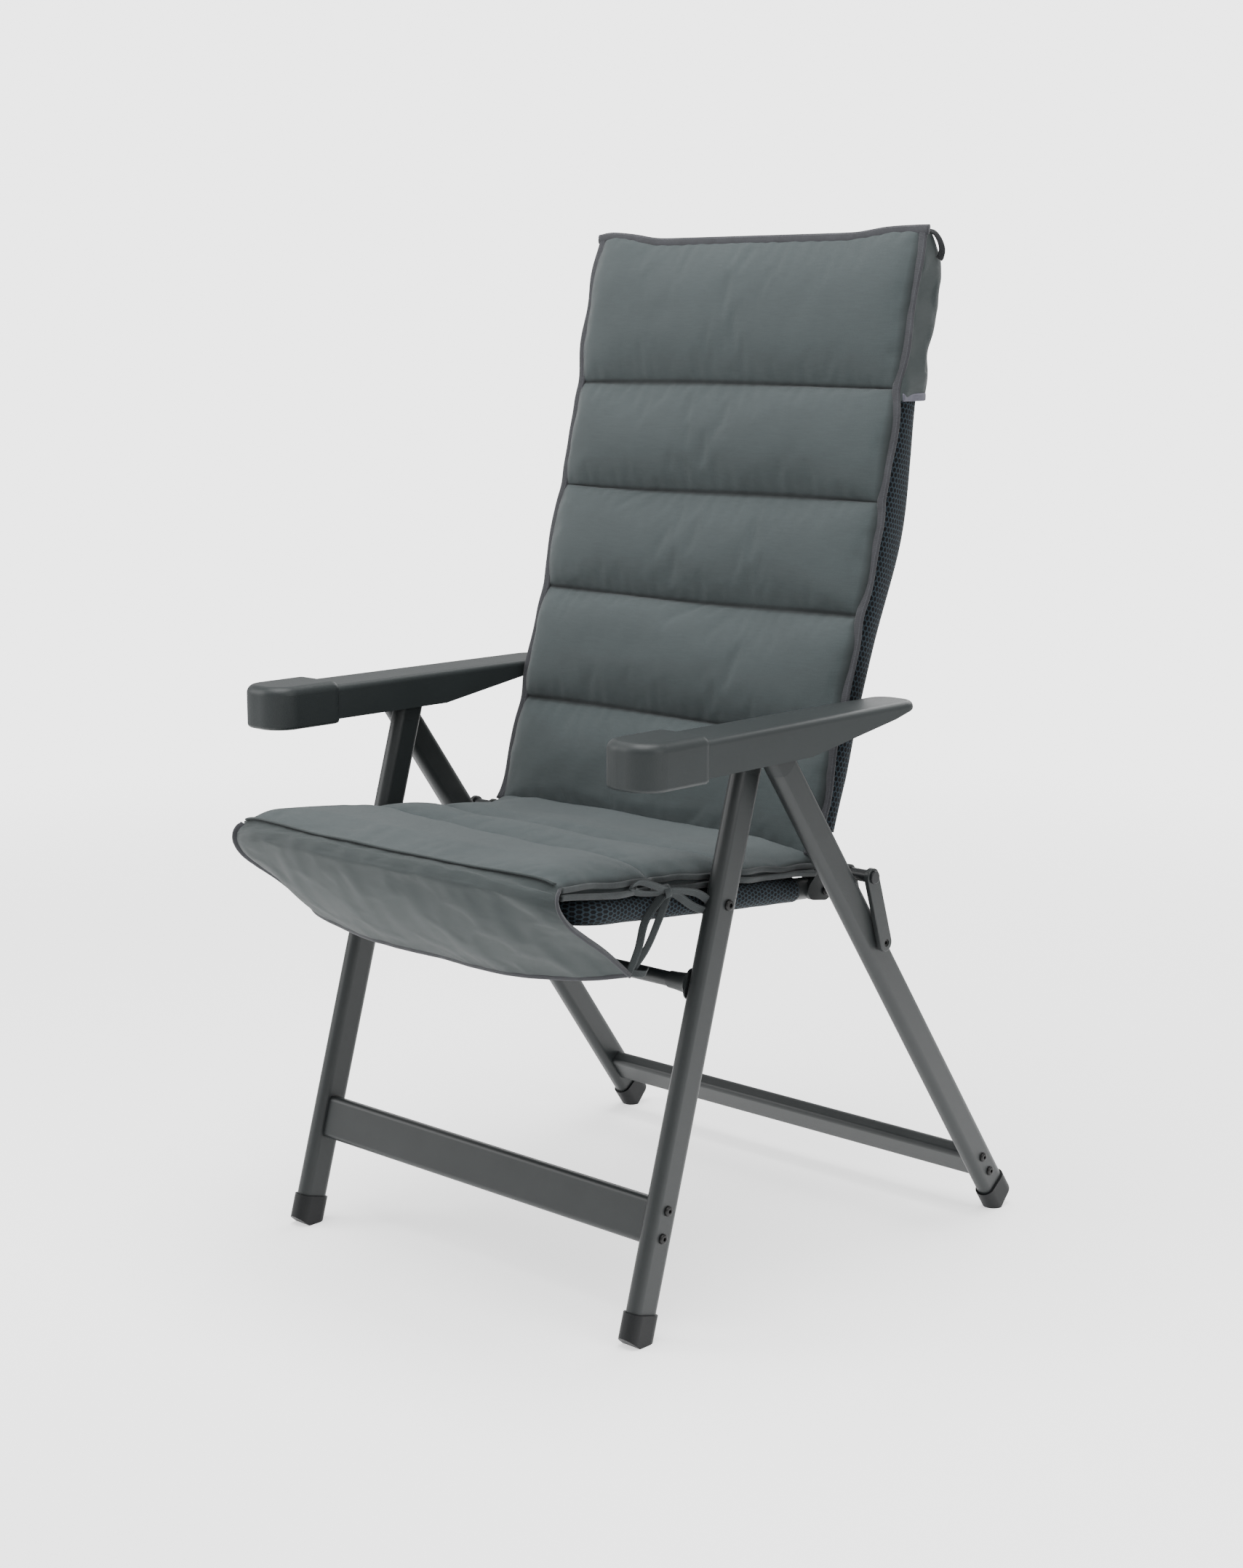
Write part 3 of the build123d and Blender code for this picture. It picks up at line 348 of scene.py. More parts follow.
def piece(name, points, faces, uv, material, body, seam=None):
    """Mesh object from arrays of points, faces and per-point UV in metres, riding on a body."""
    mesh = bpy.data.meshes.new(name)
    mesh.from_pydata(np.asarray(points, float).reshape(-1, 3), [], [list(f) for f in faces])
    corner = np.empty(len(mesh.loops), np.int32)
    mesh.loops.foreach_get("vertex_index", corner)
    layer = mesh.uv_layers.new(name="cloth")
    flat_uv = np.asarray(uv, float).reshape(-1, 2)[corner]
    layer.data.foreach_set("uv", flat_uv.astype(np.float32).ravel())
    # The seam values are per-point painted shade along the cloth's seams and edges, read by the cover
    # cloth.
    if seam is not None:
        seam_shade = mesh.attributes.new("seam", "FLOAT", "POINT")
        seam_shade.data.foreach_set("value", np.asarray(seam, np.float32).ravel())
    mesh.polygons.foreach_set("use_smooth", np.ones(len(mesh.polygons), bool))
    mesh.materials.append(material)
    mesh.update()
    made = bpy.data.objects.new(name, mesh)
    bpy.context.scene.collection.objects.link(made)
    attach(made, body)
    return made


def rounded_off(made, levels=1):
    """Subdivision surface, with the same levels in the view and the render."""
    finer = made.modifiers.new("finer", "SUBSURF")
    finer.levels = levels
    finer.render_levels = levels
    return made


def thickened(made, thickness, offset=-1.0):
    """Gives a sheet its cloth thickness."""
    wall = made.modifiers.new("cloth thickness", "SOLIDIFY")
    wall.thickness = thickness
    wall.offset = offset
    return made


def ripples(p, q, wavelength, count, seed):
    """Sum of plane waves of about one wavelength in random directions, from -1 to 1 or so."""
    chance = np.random.default_rng(seed)
    turn = chance.uniform(0, 2 * np.pi, count)
    phase = chance.uniform(0, 2 * np.pi, count)
    size = wavelength * chance.uniform(0.7, 1.5, count)
    p, q = np.asarray(p)[..., None], np.asarray(q)[..., None]
    waves = np.cos(2 * np.pi * (p * np.cos(turn) + q * np.sin(turn)) / size + phase)
    return waves.sum(-1) / math.sqrt(count)


def curve_through(points, count):
    """Catmull-Rom curve: each run is a cubic whose slope at a point is half its neighbours' step."""
    knots = np.asarray(points, float)
    knots = np.vstack([2 * knots[0] - knots[1], knots, 2 * knots[-1] - knots[-2]])
    at = np.linspace(0, len(points) - 1 - 1e-9, count)
    start = at.astype(int)
    t = (at - start)[:, None]
    a, b, c, d = (knots[start + i] for i in range(4))
    return 0.5 * (2 * b + (c - a) * t + (2 * a - 5 * b + 4 * c - d) * t**2
                  + (3 * b - a - 3 * c + d) * t**3)


def run_of(path):
    """Distance along a path at each of its points."""
    return np.concatenate([[0], np.cumsum(np.linalg.norm(np.diff(path, axis=0), axis=1))])


def band(name, path, across, width, thick, material, body, around=10):
    """Flat tape with rounded edges, swept along a path.

    Its section is a superellipse of the given width along `across` and thickness square to it.
    """
    path = np.asarray(path, float)
    forward = np.gradient(path, axis=0)
    forward /= np.linalg.norm(forward, axis=1)[:, None]
    across = np.broadcast_to(np.asarray(across, float), path.shape)
    across = across - forward * np.sum(across * forward, axis=1)[:, None]
    across = across / np.linalg.norm(across, axis=1)[:, None]
    out = np.cross(forward, across)
    turn = np.linspace(0, 2 * np.pi, around, endpoint=False)
    wide = np.sign(np.cos(turn)) * np.abs(np.cos(turn)) ** 0.6 * width / 2
    high = np.sign(np.sin(turn)) * np.abs(np.sin(turn)) ** 0.8 * thick / 2
    points = (path[:, None] + across[:, None] * wide[None, :, None]
              + out[:, None] * high[None, :, None])
    index = np.arange(len(path) * around).reshape(len(path), around)
    index = np.concatenate([index, index[:, :1]], axis=1)
    faces = [list(q) for q in quads_of(index)]
    faces += [list(index[0, :-1][::-1]), list(index[-1, :-1])]
    along = np.broadcast_to(run_of(path)[:, None], points.shape[:2])
    uv = np.stack([along, np.broadcast_to(wide, along.shape)], axis=-1)
    return piece(name, points, faces, uv, material, body)


# ------------------------------------------------------------------ surfaces of the chair
def soft_bend(t, width=0.0155):
    """Ramp that starts softly: width * ln(1 + exp(t / width))."""
    return width * np.logaddexp(0, np.asarray(t, float) / width)


def back_y(z):
    """Y of the back tube's centre line: three straight runs joined by two soft bends."""
    low, middle, high = BACK_SLOPES
    return (BACK_PIVOT[0] + low * (z - BACK_PIVOT[1])
            + (middle - low) * soft_bend(z - BACK_KNEES[0])
            + (high - middle) * soft_bend(z - BACK_KNEES[1]))


def on_back(x, z, ahead):
    """Point ahead of the back tubes' line, square to it, at the height z of its foot point."""
    slope = (back_y(z + 1e-4) - back_y(z - 1e-4)) / 2e-4
    size = np.sqrt(1 + slope**2)
    x, y, z = np.broadcast_arrays(x, back_y(z) - ahead / size, z + ahead * slope / size)
    return np.stack([x, y, z], axis=-1)


def on_seat(x, along, above):
    """Point along the seat rails from their pivot, and above their centre line."""
    y = SEAT_PIVOT[0] + along * math.cos(SEAT_SLOPE) + above * math.sin(SEAT_SLOPE)
    z = SEAT_PIVOT[1] - along * math.sin(SEAT_SLOPE) + above * math.cos(SEAT_SLOPE)
    return np.stack(np.broadcast_arrays(x, y, z), axis=-1)


def crowded(count, pull=0.72):
    """Values from 0 to 1 that lie closer together near both ends."""
    t = np.linspace(0, 1, count)
    return t - pull * np.sin(2 * np.pi * t) / (2 * np.pi)


def crown(t, flat=2.6, round_=0.62):
    """Height of a stuffed channel across it: 0 at its seams, 1 in the middle."""
    return (1 - np.abs(2 * np.clip(t, 0, 1) - 1) ** flat) ** round_


def ramp(distance, length):
    """Straight ramp from 0 to 1 over a length, level before it and after it."""
    return np.clip(distance / length, 0, 1)


def bell(distance, width):
    """Bell curve: exp(-(distance / width)^2)."""
    return np.exp(-((distance / width) ** 2))


def fading(distance, reach):
    """Decay from 1 at distance 0: exp(-distance / reach)."""
    return np.exp(-distance / reach)


def across_cover(columns):
    """Values from -1 to 1 that lie a little closer together near both ends."""
    side = np.linspace(-1, 1, columns)
    return np.sign(side) * (1 - (1 - np.abs(side)) ** 1.12)


def settle(points, held, pressure, growth, cap, frames=20):
    """Cloth simulation of an open grid: air pressure fills it while its held points stay put.

    The cloth is cut a little larger than its frame, so that it puckers along its seams. No point
    moves further than the cap.
    """
    rows, columns = points.shape[:2]
    mesh = bpy.data.meshes.new("settling")
    mesh.from_pydata(points.reshape(-1, 3), [], [list(q) for q in grid_quads(rows, columns)])
    made = bpy.data.objects.new("settling", mesh)
    bpy.context.scene.collection.objects.link(made)
    pins = made.vertex_groups.new(name="held")
    pins.add(np.flatnonzero(held.ravel()).tolist(), 1.0, "REPLACE")
    cloth = made.modifiers.new("cloth", "CLOTH")
    rules = cloth.settings
    rules.quality = 5
    rules.mass = 0.3
    rules.vertex_group_mass = "held"
    rules.tension_stiffness = 12
    rules.compression_stiffness = 12
    rules.shear_stiffness = 4
    rules.bending_stiffness = 0.15
    rules.use_pressure = True
    rules.uniform_pressure_force = pressure
    rules.shrink_min = -growth
    rules.shrink_max = -growth
    rules.effector_weights.gravity = 0.0
    cloth.collision_settings.use_collision = False
    cloth.point_cache.frame_start = 1
    cloth.point_cache.frame_end = frames
    for frame_number in range(1, frames + 1):
        bpy.context.scene.frame_set(frame_number)
    shaped = made.evaluated_get(bpy.context.evaluated_depsgraph_get()).data
    moved = np.empty(rows * columns * 3, np.float32)
    shaped.vertices.foreach_get("co", moved)
    bpy.data.objects.remove(made)
    step = moved.reshape(points.shape).astype(float) - points
    size = np.linalg.norm(step, axis=-1, keepdims=True)
    return points + step * np.minimum(1, cap / np.maximum(size, 1e-9))


def stuffed(name, top, lower, seam, material, body):
    """Closed pad from its top grid and its lower grid, which share their border points."""
    rows, columns = top.shape[:2]
    upper_index = np.arange(rows * columns).reshape(rows, columns)
    lower_index = upper_index.copy()
    inner = (rows - 2) * (columns - 2)
    lower_index[1:-1, 1:-1] = rows * columns + np.arange(inner).reshape(rows - 2, columns - 2)
    points = np.concatenate([top.reshape(-1, 3), lower[1:-1, 1:-1].reshape(-1, 3)])
    faces = np.concatenate([quads_of(upper_index), quads_of(lower_index)[:, ::-1]])
    step = np.linalg.norm(np.diff(top, axis=0), axis=-1)
    rise = np.concatenate([np.zeros((1, columns)), np.cumsum(step, axis=0)])
    uv = np.stack([rise, top[..., 0]], axis=-1)
    uv = np.concatenate([uv.reshape(-1, 2), uv[1:-1, 1:-1].reshape(-1, 2)])
    seam = np.concatenate([seam.ravel(), np.zeros(inner)])
    made = piece(name, points, faces, uv, material, body, seam)
    rounded_off(made)
    return made


# ------------------------------------------------------------------ finishes
CLOTH = (0.0365, 0.0460, 0.0475)
# seam=True turns on the painted shade in the seam creases and under the side bindings.
cover_cloth = woven("cover cloth", CLOTH, seam=True)
plain_cloth = woven("flap and hood cloth", (0.0275, 0.0345, 0.0348))
edge_tape = stitched_tape("edge binding", (0.0265, 0.0275, 0.0315), 0.011)
piping = stitched_tape("seat piping", (0.026, 0.030, 0.031), 0.030)
hem_band_tape = stitched_tape("hood hem band", (0.075, 0.075, 0.095), 0.010)
dark_tape = stitched_tape("tie tape", (0.017, 0.021, 0.022), 0.009)
black_tape = stitched_tape("corner tape", (0.006, 0.007, 0.008), 0.010)
# The second colour is painted shade for the mesh's holes.
sling_mesh = spacer_mesh("spacer mesh", (0.0175, 0.0280, 0.0360), (0.0005, 0.0007, 0.0013),
                         pitch=0.0050, stretch=1.28)
frame_coat = powder_coat("frame powder coat", (0.0112, 0.0134, 0.0138))
arm_moulding = moulded("armrest moulding", (0.0165, 0.0200, 0.0205), 0.45, 1300.0, 0.22)
foot_moulding = moulded("foot moulding", (0.0022, 0.0028, 0.0034), 0.52, 900.0, 0.3)
plug_moulding = moulded("plug moulding", (0.0150, 0.0175, 0.0180), 0.46, 1100.0, 0.2)
sleeve_moulding = moulded("sleeve moulding", (0.0100, 0.0110, 0.0120), 0.34, 1600.0, 0.1)
bolt_steel = blackened_steel("blackened steel", (0.020, 0.020, 0.020))

FINISH_OF_SLOT = {
    "frame_paint": frame_coat,
    "arm_plastic": arm_moulding,
    "foot_plastic": foot_moulding,
    "plug_plastic": plug_moulding,
    "sleeve_plastic": sleeve_moulding,
    "dark_steel": bolt_steel,
}
for part in frame["record"]["subparts"]:
    finish = FINISH_OF_SLOT.get(part["material_slot"])
    if finish:
        mesh = frame["nodes"][part["node"]].data
        mesh.materials.clear()
        mesh.materials.append(finish)


# ------------------------------------------------------------------ back cover
def back_cover():
    """Quilted front of the back cover over a flat lining, seamed at five heights.

    Each channel's height over its seams is a flattened arch; it also falls off towards the sides.
    Short waves along the seams and sides are the puckers, long waves the cloth's unevenness. The
    top edge rises in a bell near its right corner and in a soft step near its left one.
    """
    columns = 97
    side = across_cover(columns)
    right_rise = 0.0095 * bell(side + 0.90, 0.17)
    left_rise = 0.0065 / (1 + np.exp(-(side - 0.72) / 0.045))
    top_z = BACK_SEAMS[-1] + 0.0003 + right_rise + left_rise
    lows, highs = BACK_SEAMS[:-1], BACK_SEAMS[1:]
    top_number = len(lows) - 1
    strips = []
    for number, (low, high) in enumerate(zip(lows, highs)):
        last = number == top_number
        t = crowded(36) if last else crowded(30)[:-1]
        high_z = top_z if last else np.full(columns, high)
        z = low + (high_z - low)[None, :] * t[:, None]
        strips.append((z, np.broadcast_to(t[:, None], z.shape), np.full(z.shape, number)))
    z, t, number = (np.concatenate(values) for values in zip(*strips))
    s = np.broadcast_to(side, z.shape)
    seam_sag = 0.0016 * np.cos(3 * s + 1.7 * number)
    z = z + seam_sag * np.minimum(1, (BACK_SEAMS[-1] - z) / 0.1) * (z > 0.5)
    belly = 0.006 * bell(z - 0.81, 0.05)
    waist = 0.004 * bell(z - 0.955, 0.022)
    half = np.where(s > 0, 0.2545, BACK_HALF + belly - waist)
    half = half - 0.003 * bell(np.minimum(t, 1 - t) * 0.13, 0.018)
    half = half + 0.0007 * np.sin(z * 74) * (1 - bell(z - 1.17, 0.05))
    x = s * half
    from_side = half * (1 - np.abs(s))
    from_seam = np.minimum(t, 1 - t) * CHANNEL
    height = np.where(number == top_number, 0.0150, 0.0160)
    arch = crown(t) * (1 - fading(from_side, 0.011))
    puff = height * arch * (1 + 0.07 * ripples(x, z, 0.20, 7, 3))
    pucker = ripples(x, z * 0.25, 0.016, 9, 5) * fading(from_seam, 0.016)
    gather = ripples(z, x * 0.25, 0.018, 9, 6) * fading(from_side, 0.016)
    uneven = ripples(x, z, 0.055, 9, 8)
    puff = puff + arch * (0.0007 * pucker + 0.0009 * gather + 0.0003 * uneven)
    top_tuck = 0.004 * (1 - np.cos(ramp(z - 1.10, 0.07) * np.pi)) / 2
    foot_lift = 0.010 * ramp(0.510 - z, 0.036) ** 2
    base = 0.0215 - top_tuck + foot_lift
    # Painted shade: these seam values darken the cloth in the creases along the seams and along both
    # sides under the bindings.
    seam = bell(from_seam, 0.0017) * (z > 0.49) * (z < 1.15)
    seam = np.maximum(seam, 0.8 * np.exp(-((from_side / 0.008) ** 4)))
    top = on_back(x, z, base + puff)
    held = (from_seam < 0.0005) | (from_side < 1e-6)
    top = settle(top, held, pressure=2.0, growth=0.0035, cap=0.005)
    lining = on_back(x, z, np.full(z.shape, 0.0175))
    made = stuffed("back_cover", top, lining, seam, cover_cloth, "back")
    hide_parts("back_pad")
    return top


def back_bindings(top):
    """Bindings over the back cover's two sides and its top edge, each a tape along the border."""
    width, thick = 0.0115, 0.0046
    rise = np.linspace(0, 1, 150)
    for word, column, sign in (("right", 0, -1), ("left", -1, 1)):
        edge = top[:, column]
        run = run_of(edge)
        path = np.stack([np.interp(rise * run[-1], run, edge[:, i]) for i in range(3)], axis=1)
        path[:, 0] -= sign * (0.0015 + 0.0008 * np.sin(run[-1] * rise * 61))
        path[:, 1] -= 0.0012 + 0.0006 * np.sin(rise * 55)
        if sign > 0:
            path = path[::-1]
        band(f"back_binding_{word}", path, (1, 0, 0), width, thick, edge_tape, "back")
    edge = top[-1]
    past_corner = 0.0062
    ends = np.array([-1, 1])[:, None] * np.array([past_corner, 0, 0]) + edge[[0, -1]]
    path = curve_through(np.vstack([ends[:1], edge[4:-4:8], ends[1:]]), 130)
    path[:, 2] -= 0.0012
    path[:, 1] -= 0.0010
    lean = np.array([0, BACK_SLOPES[-1], 1.0])
    band("back_binding_top", path, lean, 0.0120, 0.0048, edge_tape, "back")


# ------------------------------------------------------------------ hood behind the back
def hood(top):
    """Pocket over the frame's top: a U in plan that goes round the tubes and closes at the top.

    The rear line is a curve through the hood's own side outline. Soft diagonal folds run down
    from its top corners.
    """
    outline = curve_through([(0.2490, 0.982), (0.2560, 1.012), (0.2560, 1.036), (0.2650, 1.062),
                             (0.2740, 1.100), (0.2760, 1.135), (0.2620, 1.165), (0.2470, HOOD_TOP)],
                            70)
    rear_y, z = outline[:, :1], outline[:, 1:]
    border = top[top[:, -1, 2] > 0.9, -1]
    front_y = np.interp(z, border[:, 2], border[:, 1]) - 0.0015
    deep = rear_y - front_y
    corner = np.minimum(0.020, 0.45 * deep)
    u = 2 * np.linspace(0, 1, 150)[None, :] - 1
    length = HOOD_HALF + 0.85 * deep
    reach = length * np.abs(u)
    flat_end = HOOD_HALF - corner
    arc = corner * np.pi / 2
    turn = ramp(reach - flat_end, arc) * np.pi / 2
    x = np.where(reach < flat_end, reach, flat_end + corner * np.sin(turn))
    y = rear_y - corner * (1 - np.cos(turn))
    side_start = (flat_end + arc) / length
    side_share = np.clip(np.abs(u) - side_start, 0, 1) / np.maximum(1 - side_start, 1e-6)
    y = y - side_share * (deep - corner)
    z = np.broadcast_to(z, x.shape)
    fold = 0.0045 * np.maximum(ripples(z - 0.9 * y, y * 0.4, 0.060, 5, 21), -0.2)
    fold = fold + 0.0018 * ripples(x, z, 0.045, 8, 23)
    free = ramp(1.172 - z, 0.03) * ramp(1 - np.abs(u), 0.02)
    right_narrower = np.where(u < 0, 0.98, 1.0)
    x = np.sign(u) * (x + fold * free * (side_share > 0) * 0.8) * right_narrower
    y = y - 0.8 * np.abs(fold) * free * (side_share == 0) * 0.7
    edge_z = np.interp(x[-1], top[-1, :, 0], top[-1, :, 2])
    edge_y = np.interp(x[-1], top[-1, :, 0], top[-1, :, 1])
    closing = ramp(z - 1.135, 0.0405) ** 2
    y = y + closing * (edge_y + 0.002 - y)
    z = z + closing * (edge_z - z)
    points = np.stack([x, y, z], axis=-1)[:, ::-1]
    held = np.zeros(x.shape, bool)
    held[[0, -1]] = True
    held[:, [0, -1]] = True
    points = settle(points, held, pressure=0.6, growth=0.008, cap=0.006)
    uv = np.stack([z, np.broadcast_to(u * 0.30, z.shape)], axis=-1)
    faces = grid_quads(*x.shape)[:, ::-1]
    made = piece("hood_cloth", points, faces, uv, plain_cloth, "back")
    made.data.flip_normals()
    thickened(rounded_off(made), 0.0012)
    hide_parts("back_hood")
    hem = points[0, 1:-1].copy()
    hem[:, 2] += 0.004
    hem_band = band("hood_hem_band", hem[::-1], (0, 0, 1), 0.0095, 0.0030, hem_band_tape,
                    "back")


# ------------------------------------------------------------------ spacer-mesh slings
def back_sling():
    """Mesh stretched between the back tubes and sewn round each of them.

    In section it is straight between the tubes, ahead of them, and goes round each tube in an
    oval that is longest behind the tube, near the middle of the back's height.
    """
    z = np.linspace(SLING_LOW, SLING_HIGH, 150)[:, None]
    bend = math.radians(305) * SLEEVE_RADIUS
    length = TUBE_X["back"] + bend
    s = np.linspace(-length, length, 190)[None, :]
    beyond = np.maximum(np.abs(s) - TUBE_X["back"], 0) / SLEEVE_RADIUS
    x = np.minimum(np.abs(s), TUBE_X["back"]) + SLEEVE_RADIUS * np.sin(beyond)
    loose = 0.006 + 0.019 * bell(z - 0.85, 0.11)
    loose = loose * ramp(z - SLING_LOW, 0.06)
    ahead = SLEEVE_RADIUS * np.cos(beyond) + 0.0002 + loose * np.minimum(np.cos(beyond), 0)
    ahead = ahead - 0.0005 * ripples(s, z, 0.09, 6, 31)
    x, zz = np.broadcast_arrays(np.sign(s) * x, z)
    points = on_back(x, zz, ahead)
    steps = np.linalg.norm(np.diff(points, axis=1, prepend=points[:, :1]), axis=-1)
    across = np.cumsum(steps, axis=1)
    wide = across[:, -1:]
    uv = np.stack(np.broadcast_arrays(z, across - wide / 2), axis=-1)
    made = piece("back_sling", points, grid_quads(*x.shape), uv, sling_mesh, "back")
    thickened(made, MESH_THICKNESS)
    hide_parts("back_sling_mesh")


def seat_outline(count):
    """U-shaped centre line of the seat tube in the seat plane: side, round corner, front."""
    half, front, bend = TUBE_X["seat"], SLING_FRONT, CORNER_RADIUS
    t = np.linspace(0, 1, count)
    straight, corner = SLING_REAR - (front + bend), bend * np.pi / 2
    total = 2 * straight + 2 * corner + 2 * (half - bend)
    run = np.abs(t - 0.5) * total
    turn = np.clip((run - (half - bend)) / corner, 0, 1) * np.pi / 2
    x = np.minimum(run, half - bend) + bend * np.sin(turn)
    along = front + bend * (1 - np.cos(turn)) + np.maximum(run - (half - bend) - corner, 0)
    sign = np.sign(t - 0.5)
    out_x, out_along = sign * np.sin(turn), -np.cos(turn)
    return sign * x, along, out_x, out_along, (t - 0.5) * total


def seat_sling():
    """Mesh panel over the seat frame, and the mesh sleeve it forms round the U-shaped tube."""
    x, along, out_x, out_along, run = seat_outline(280)
    turn = np.linspace(math.radians(92), math.radians(-190), 44)[None, :]
    radius = SLEEVE_RADIUS + 0.0003 * ripples(run[:, None], turn * 0.014, 0.05, 6, 41)
    level = radius * np.sin(turn)
    away = radius * np.cos(turn)
    across = x[:, None] + out_x[:, None] * away
    points = on_seat(across, along[:, None] + out_along[:, None] * away, level)
    uv = np.stack(np.broadcast_arrays(run[:, None], turn * SLEEVE_RADIUS), axis=-1)
    sleeve = piece("seat_sling_sleeve", points, grid_quads(*points.shape[:2]), uv, sling_mesh,
                   "seat")
    thickened(sleeve, MESH_THICKNESS)
    run[-1] - run[0]
    rows, columns = 80, 90
    v = np.linspace(SLING_FRONT, SLING_REAR, rows)[:, None]
    inset = np.maximum(SLING_FRONT + CORNER_RADIUS - v, 0)
    corner = np.sqrt(np.maximum(CORNER_RADIUS**2 - inset**2, 0))
    half = TUBE_X["seat"] - CORNER_RADIUS + corner
    u = np.linspace(-1, 1, columns)[None, :]
    across = u * half
    sag = SLEEVE_RADIUS - 0.0016 * (1 - u**2) * (1 - ((v + 0.025) / 0.175) ** 2)
    panel = on_seat(across, v + 0 * u, sag)
    uv = np.stack(np.broadcast_arrays(v + 0 * u, across), axis=-1)
    faces = grid_quads(rows, columns)
    made = piece("seat_sling_panel", panel, faces, uv, sling_mesh, "seat")
    thickened(made, MESH_THICKNESS)
    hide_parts("seat_sling_mesh")


# ------------------------------------------------------------------ seat cover and its front flap
def seat_line(number, x):
    """Where the seat's front edge, its two cross seams and its rear edge lie along the rails."""
    return (
        -0.231 - 0.020 * (1 - (x / 0.25) ** 2),
        -0.067 - 0.090 * x - 0.10 * x**2,
        0.018 + 0.62 * x**2 - 0.01 * x,
        SEAT_REAR + 0 * x,
    )[number]


def seat_half_width(along, sign):
    """Half width of the seat cover: slightly wavy, and pinched where a cross seam ends."""
    notch = 0.007 * bell(along + 0.088, 0.010) + 0.005 * bell(along - 0.048, 0.009)
    wave = 0.0022 * np.sin(along * 46 + sign) + 0.001 * np.sin(along * 117)
    return SEAT_HALF + wave - notch


def seat_front_share(along):
    """1 over the front of the seat, falling to 0 towards its rear, where the cover is thinner."""
    return ramp(0.12 - along, 0.16)


def seat_cover():
    """Padded seat top over its lining, with two shallow cross seams and a rounded front."""
    columns = 101
    side = across_cover(columns)
    strips = []
    for number, count in enumerate((40, 28, 34)):
        t = crowded(count, 0.6)
        t = t if number == 2 else t[:-1]
        shape = (len(t), columns)
        strips.append((np.broadcast_to(t[:, None], shape), np.full(shape, number)))
    t, number = (np.concatenate(values) for values in zip(*strips))
    s = np.broadcast_to(side, t.shape)
    ends = [seat_line(i, 0.25 * s) for i in range(4)]
    low, high = (np.choose(number + i, ends) for i in (0, 1))
    along = low + (high - low) * t
    half = np.where(s > 0, seat_half_width(along, 1), seat_half_width(along, -1))
    x = s * half
    from_side = half * (1 - np.abs(s))
    no_seam = 9
    from_seam = np.minimum(np.where(number == 0, no_seam, t), np.where(number == 2, no_seam, 1 - t))
    from_seam = from_seam * (high - low)
    valley = fading(from_seam, 0.013)
    ahead = seat_front_share(along)
    base = 0.0265 + 0.0020 * ahead
    rise = (0.0125 + 0.0070 * ahead) * (1 - fading(from_side, 0.011))
    rise = rise * (1 - 0.42 * valley - 0.22 * fading(from_seam, 0.003))
    front = ramp(along - ends[0], 0.030)
    rise = rise * (0.45 + 0.55 * np.sin(front * np.pi / 2))
    rise = rise + 0.0007 * ripples(x, along, 0.15, 8, 52) * ramp(from_side, 0.03)
    rise = rise + 0.0003 * ripples(x * 0.35, along, 0.020, 9, 55) * valley * ramp(from_side, 0.01)
    gather = ripples(along, x * 0.25, 0.017, 9, 57) * fading(from_side, 0.014)
    rise = rise + 0.0008 * gather * ramp(from_side, 0.004)
    # Painted shade: these seam values darken the cloth in the cross-seam creases and along both sides
    # under the piping.
    seam = 0.35 * bell(from_seam, 0.0015)
    seam = np.maximum(seam, 0.7 * np.exp(-((from_side / 0.004) ** 4)))
    rear_lift = 0.010 * ramp(along - 0.11, 0.07) ** 2
    top = on_seat(x, along, base + rise + rear_lift)
    held = np.zeros(x.shape, bool)
    held[[0, -1]] = True
    held[:, [0, -1]] = True
    held |= from_seam < 0.0005
    top = settle(top, held, pressure=1.2, growth=0.0025, cap=0.004)
    lining = on_seat(x, along, np.full(x.shape, 0.0172))
    made = stuffed("seat_cover", top, lining, seam, cover_cloth, "seat")
    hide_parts("seat_pad")
    tuple(on_seat(0, 0, 0.0165))
    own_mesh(made)
    return top


def seat_bindings():
    """Two edges along each side of the seat: the cover's piping and its lining's folded edge."""
    for word, sign in (("right", -1), ("left", 1)):
        along = np.linspace(-0.229, 0.176, 150)
        half = seat_half_width(along, sign)
        upper = 0.0268 + 0.0020 * seat_front_share(along) + 0.0008 * np.sin(along * 90)
        path = on_seat(sign * (half + 0.0004), along, upper)
        band(f"seat_piping_{word}", path[::sign], (0, 0, 1), 0.0066, 0.0048, piping, "seat")
        lower = 0.0192 + 0.0012 * np.sin(along * 52 + 0.6)
        path = on_seat(sign * (half + 0.0024 + 0.0016 * np.sin(along * 38 + 1)), along, lower)
        band(f"seat_lining_edge_{word}", path[::sign], (0.4 * sign, 0, 1), 0.0075, 0.0040, piping,
             "seat")


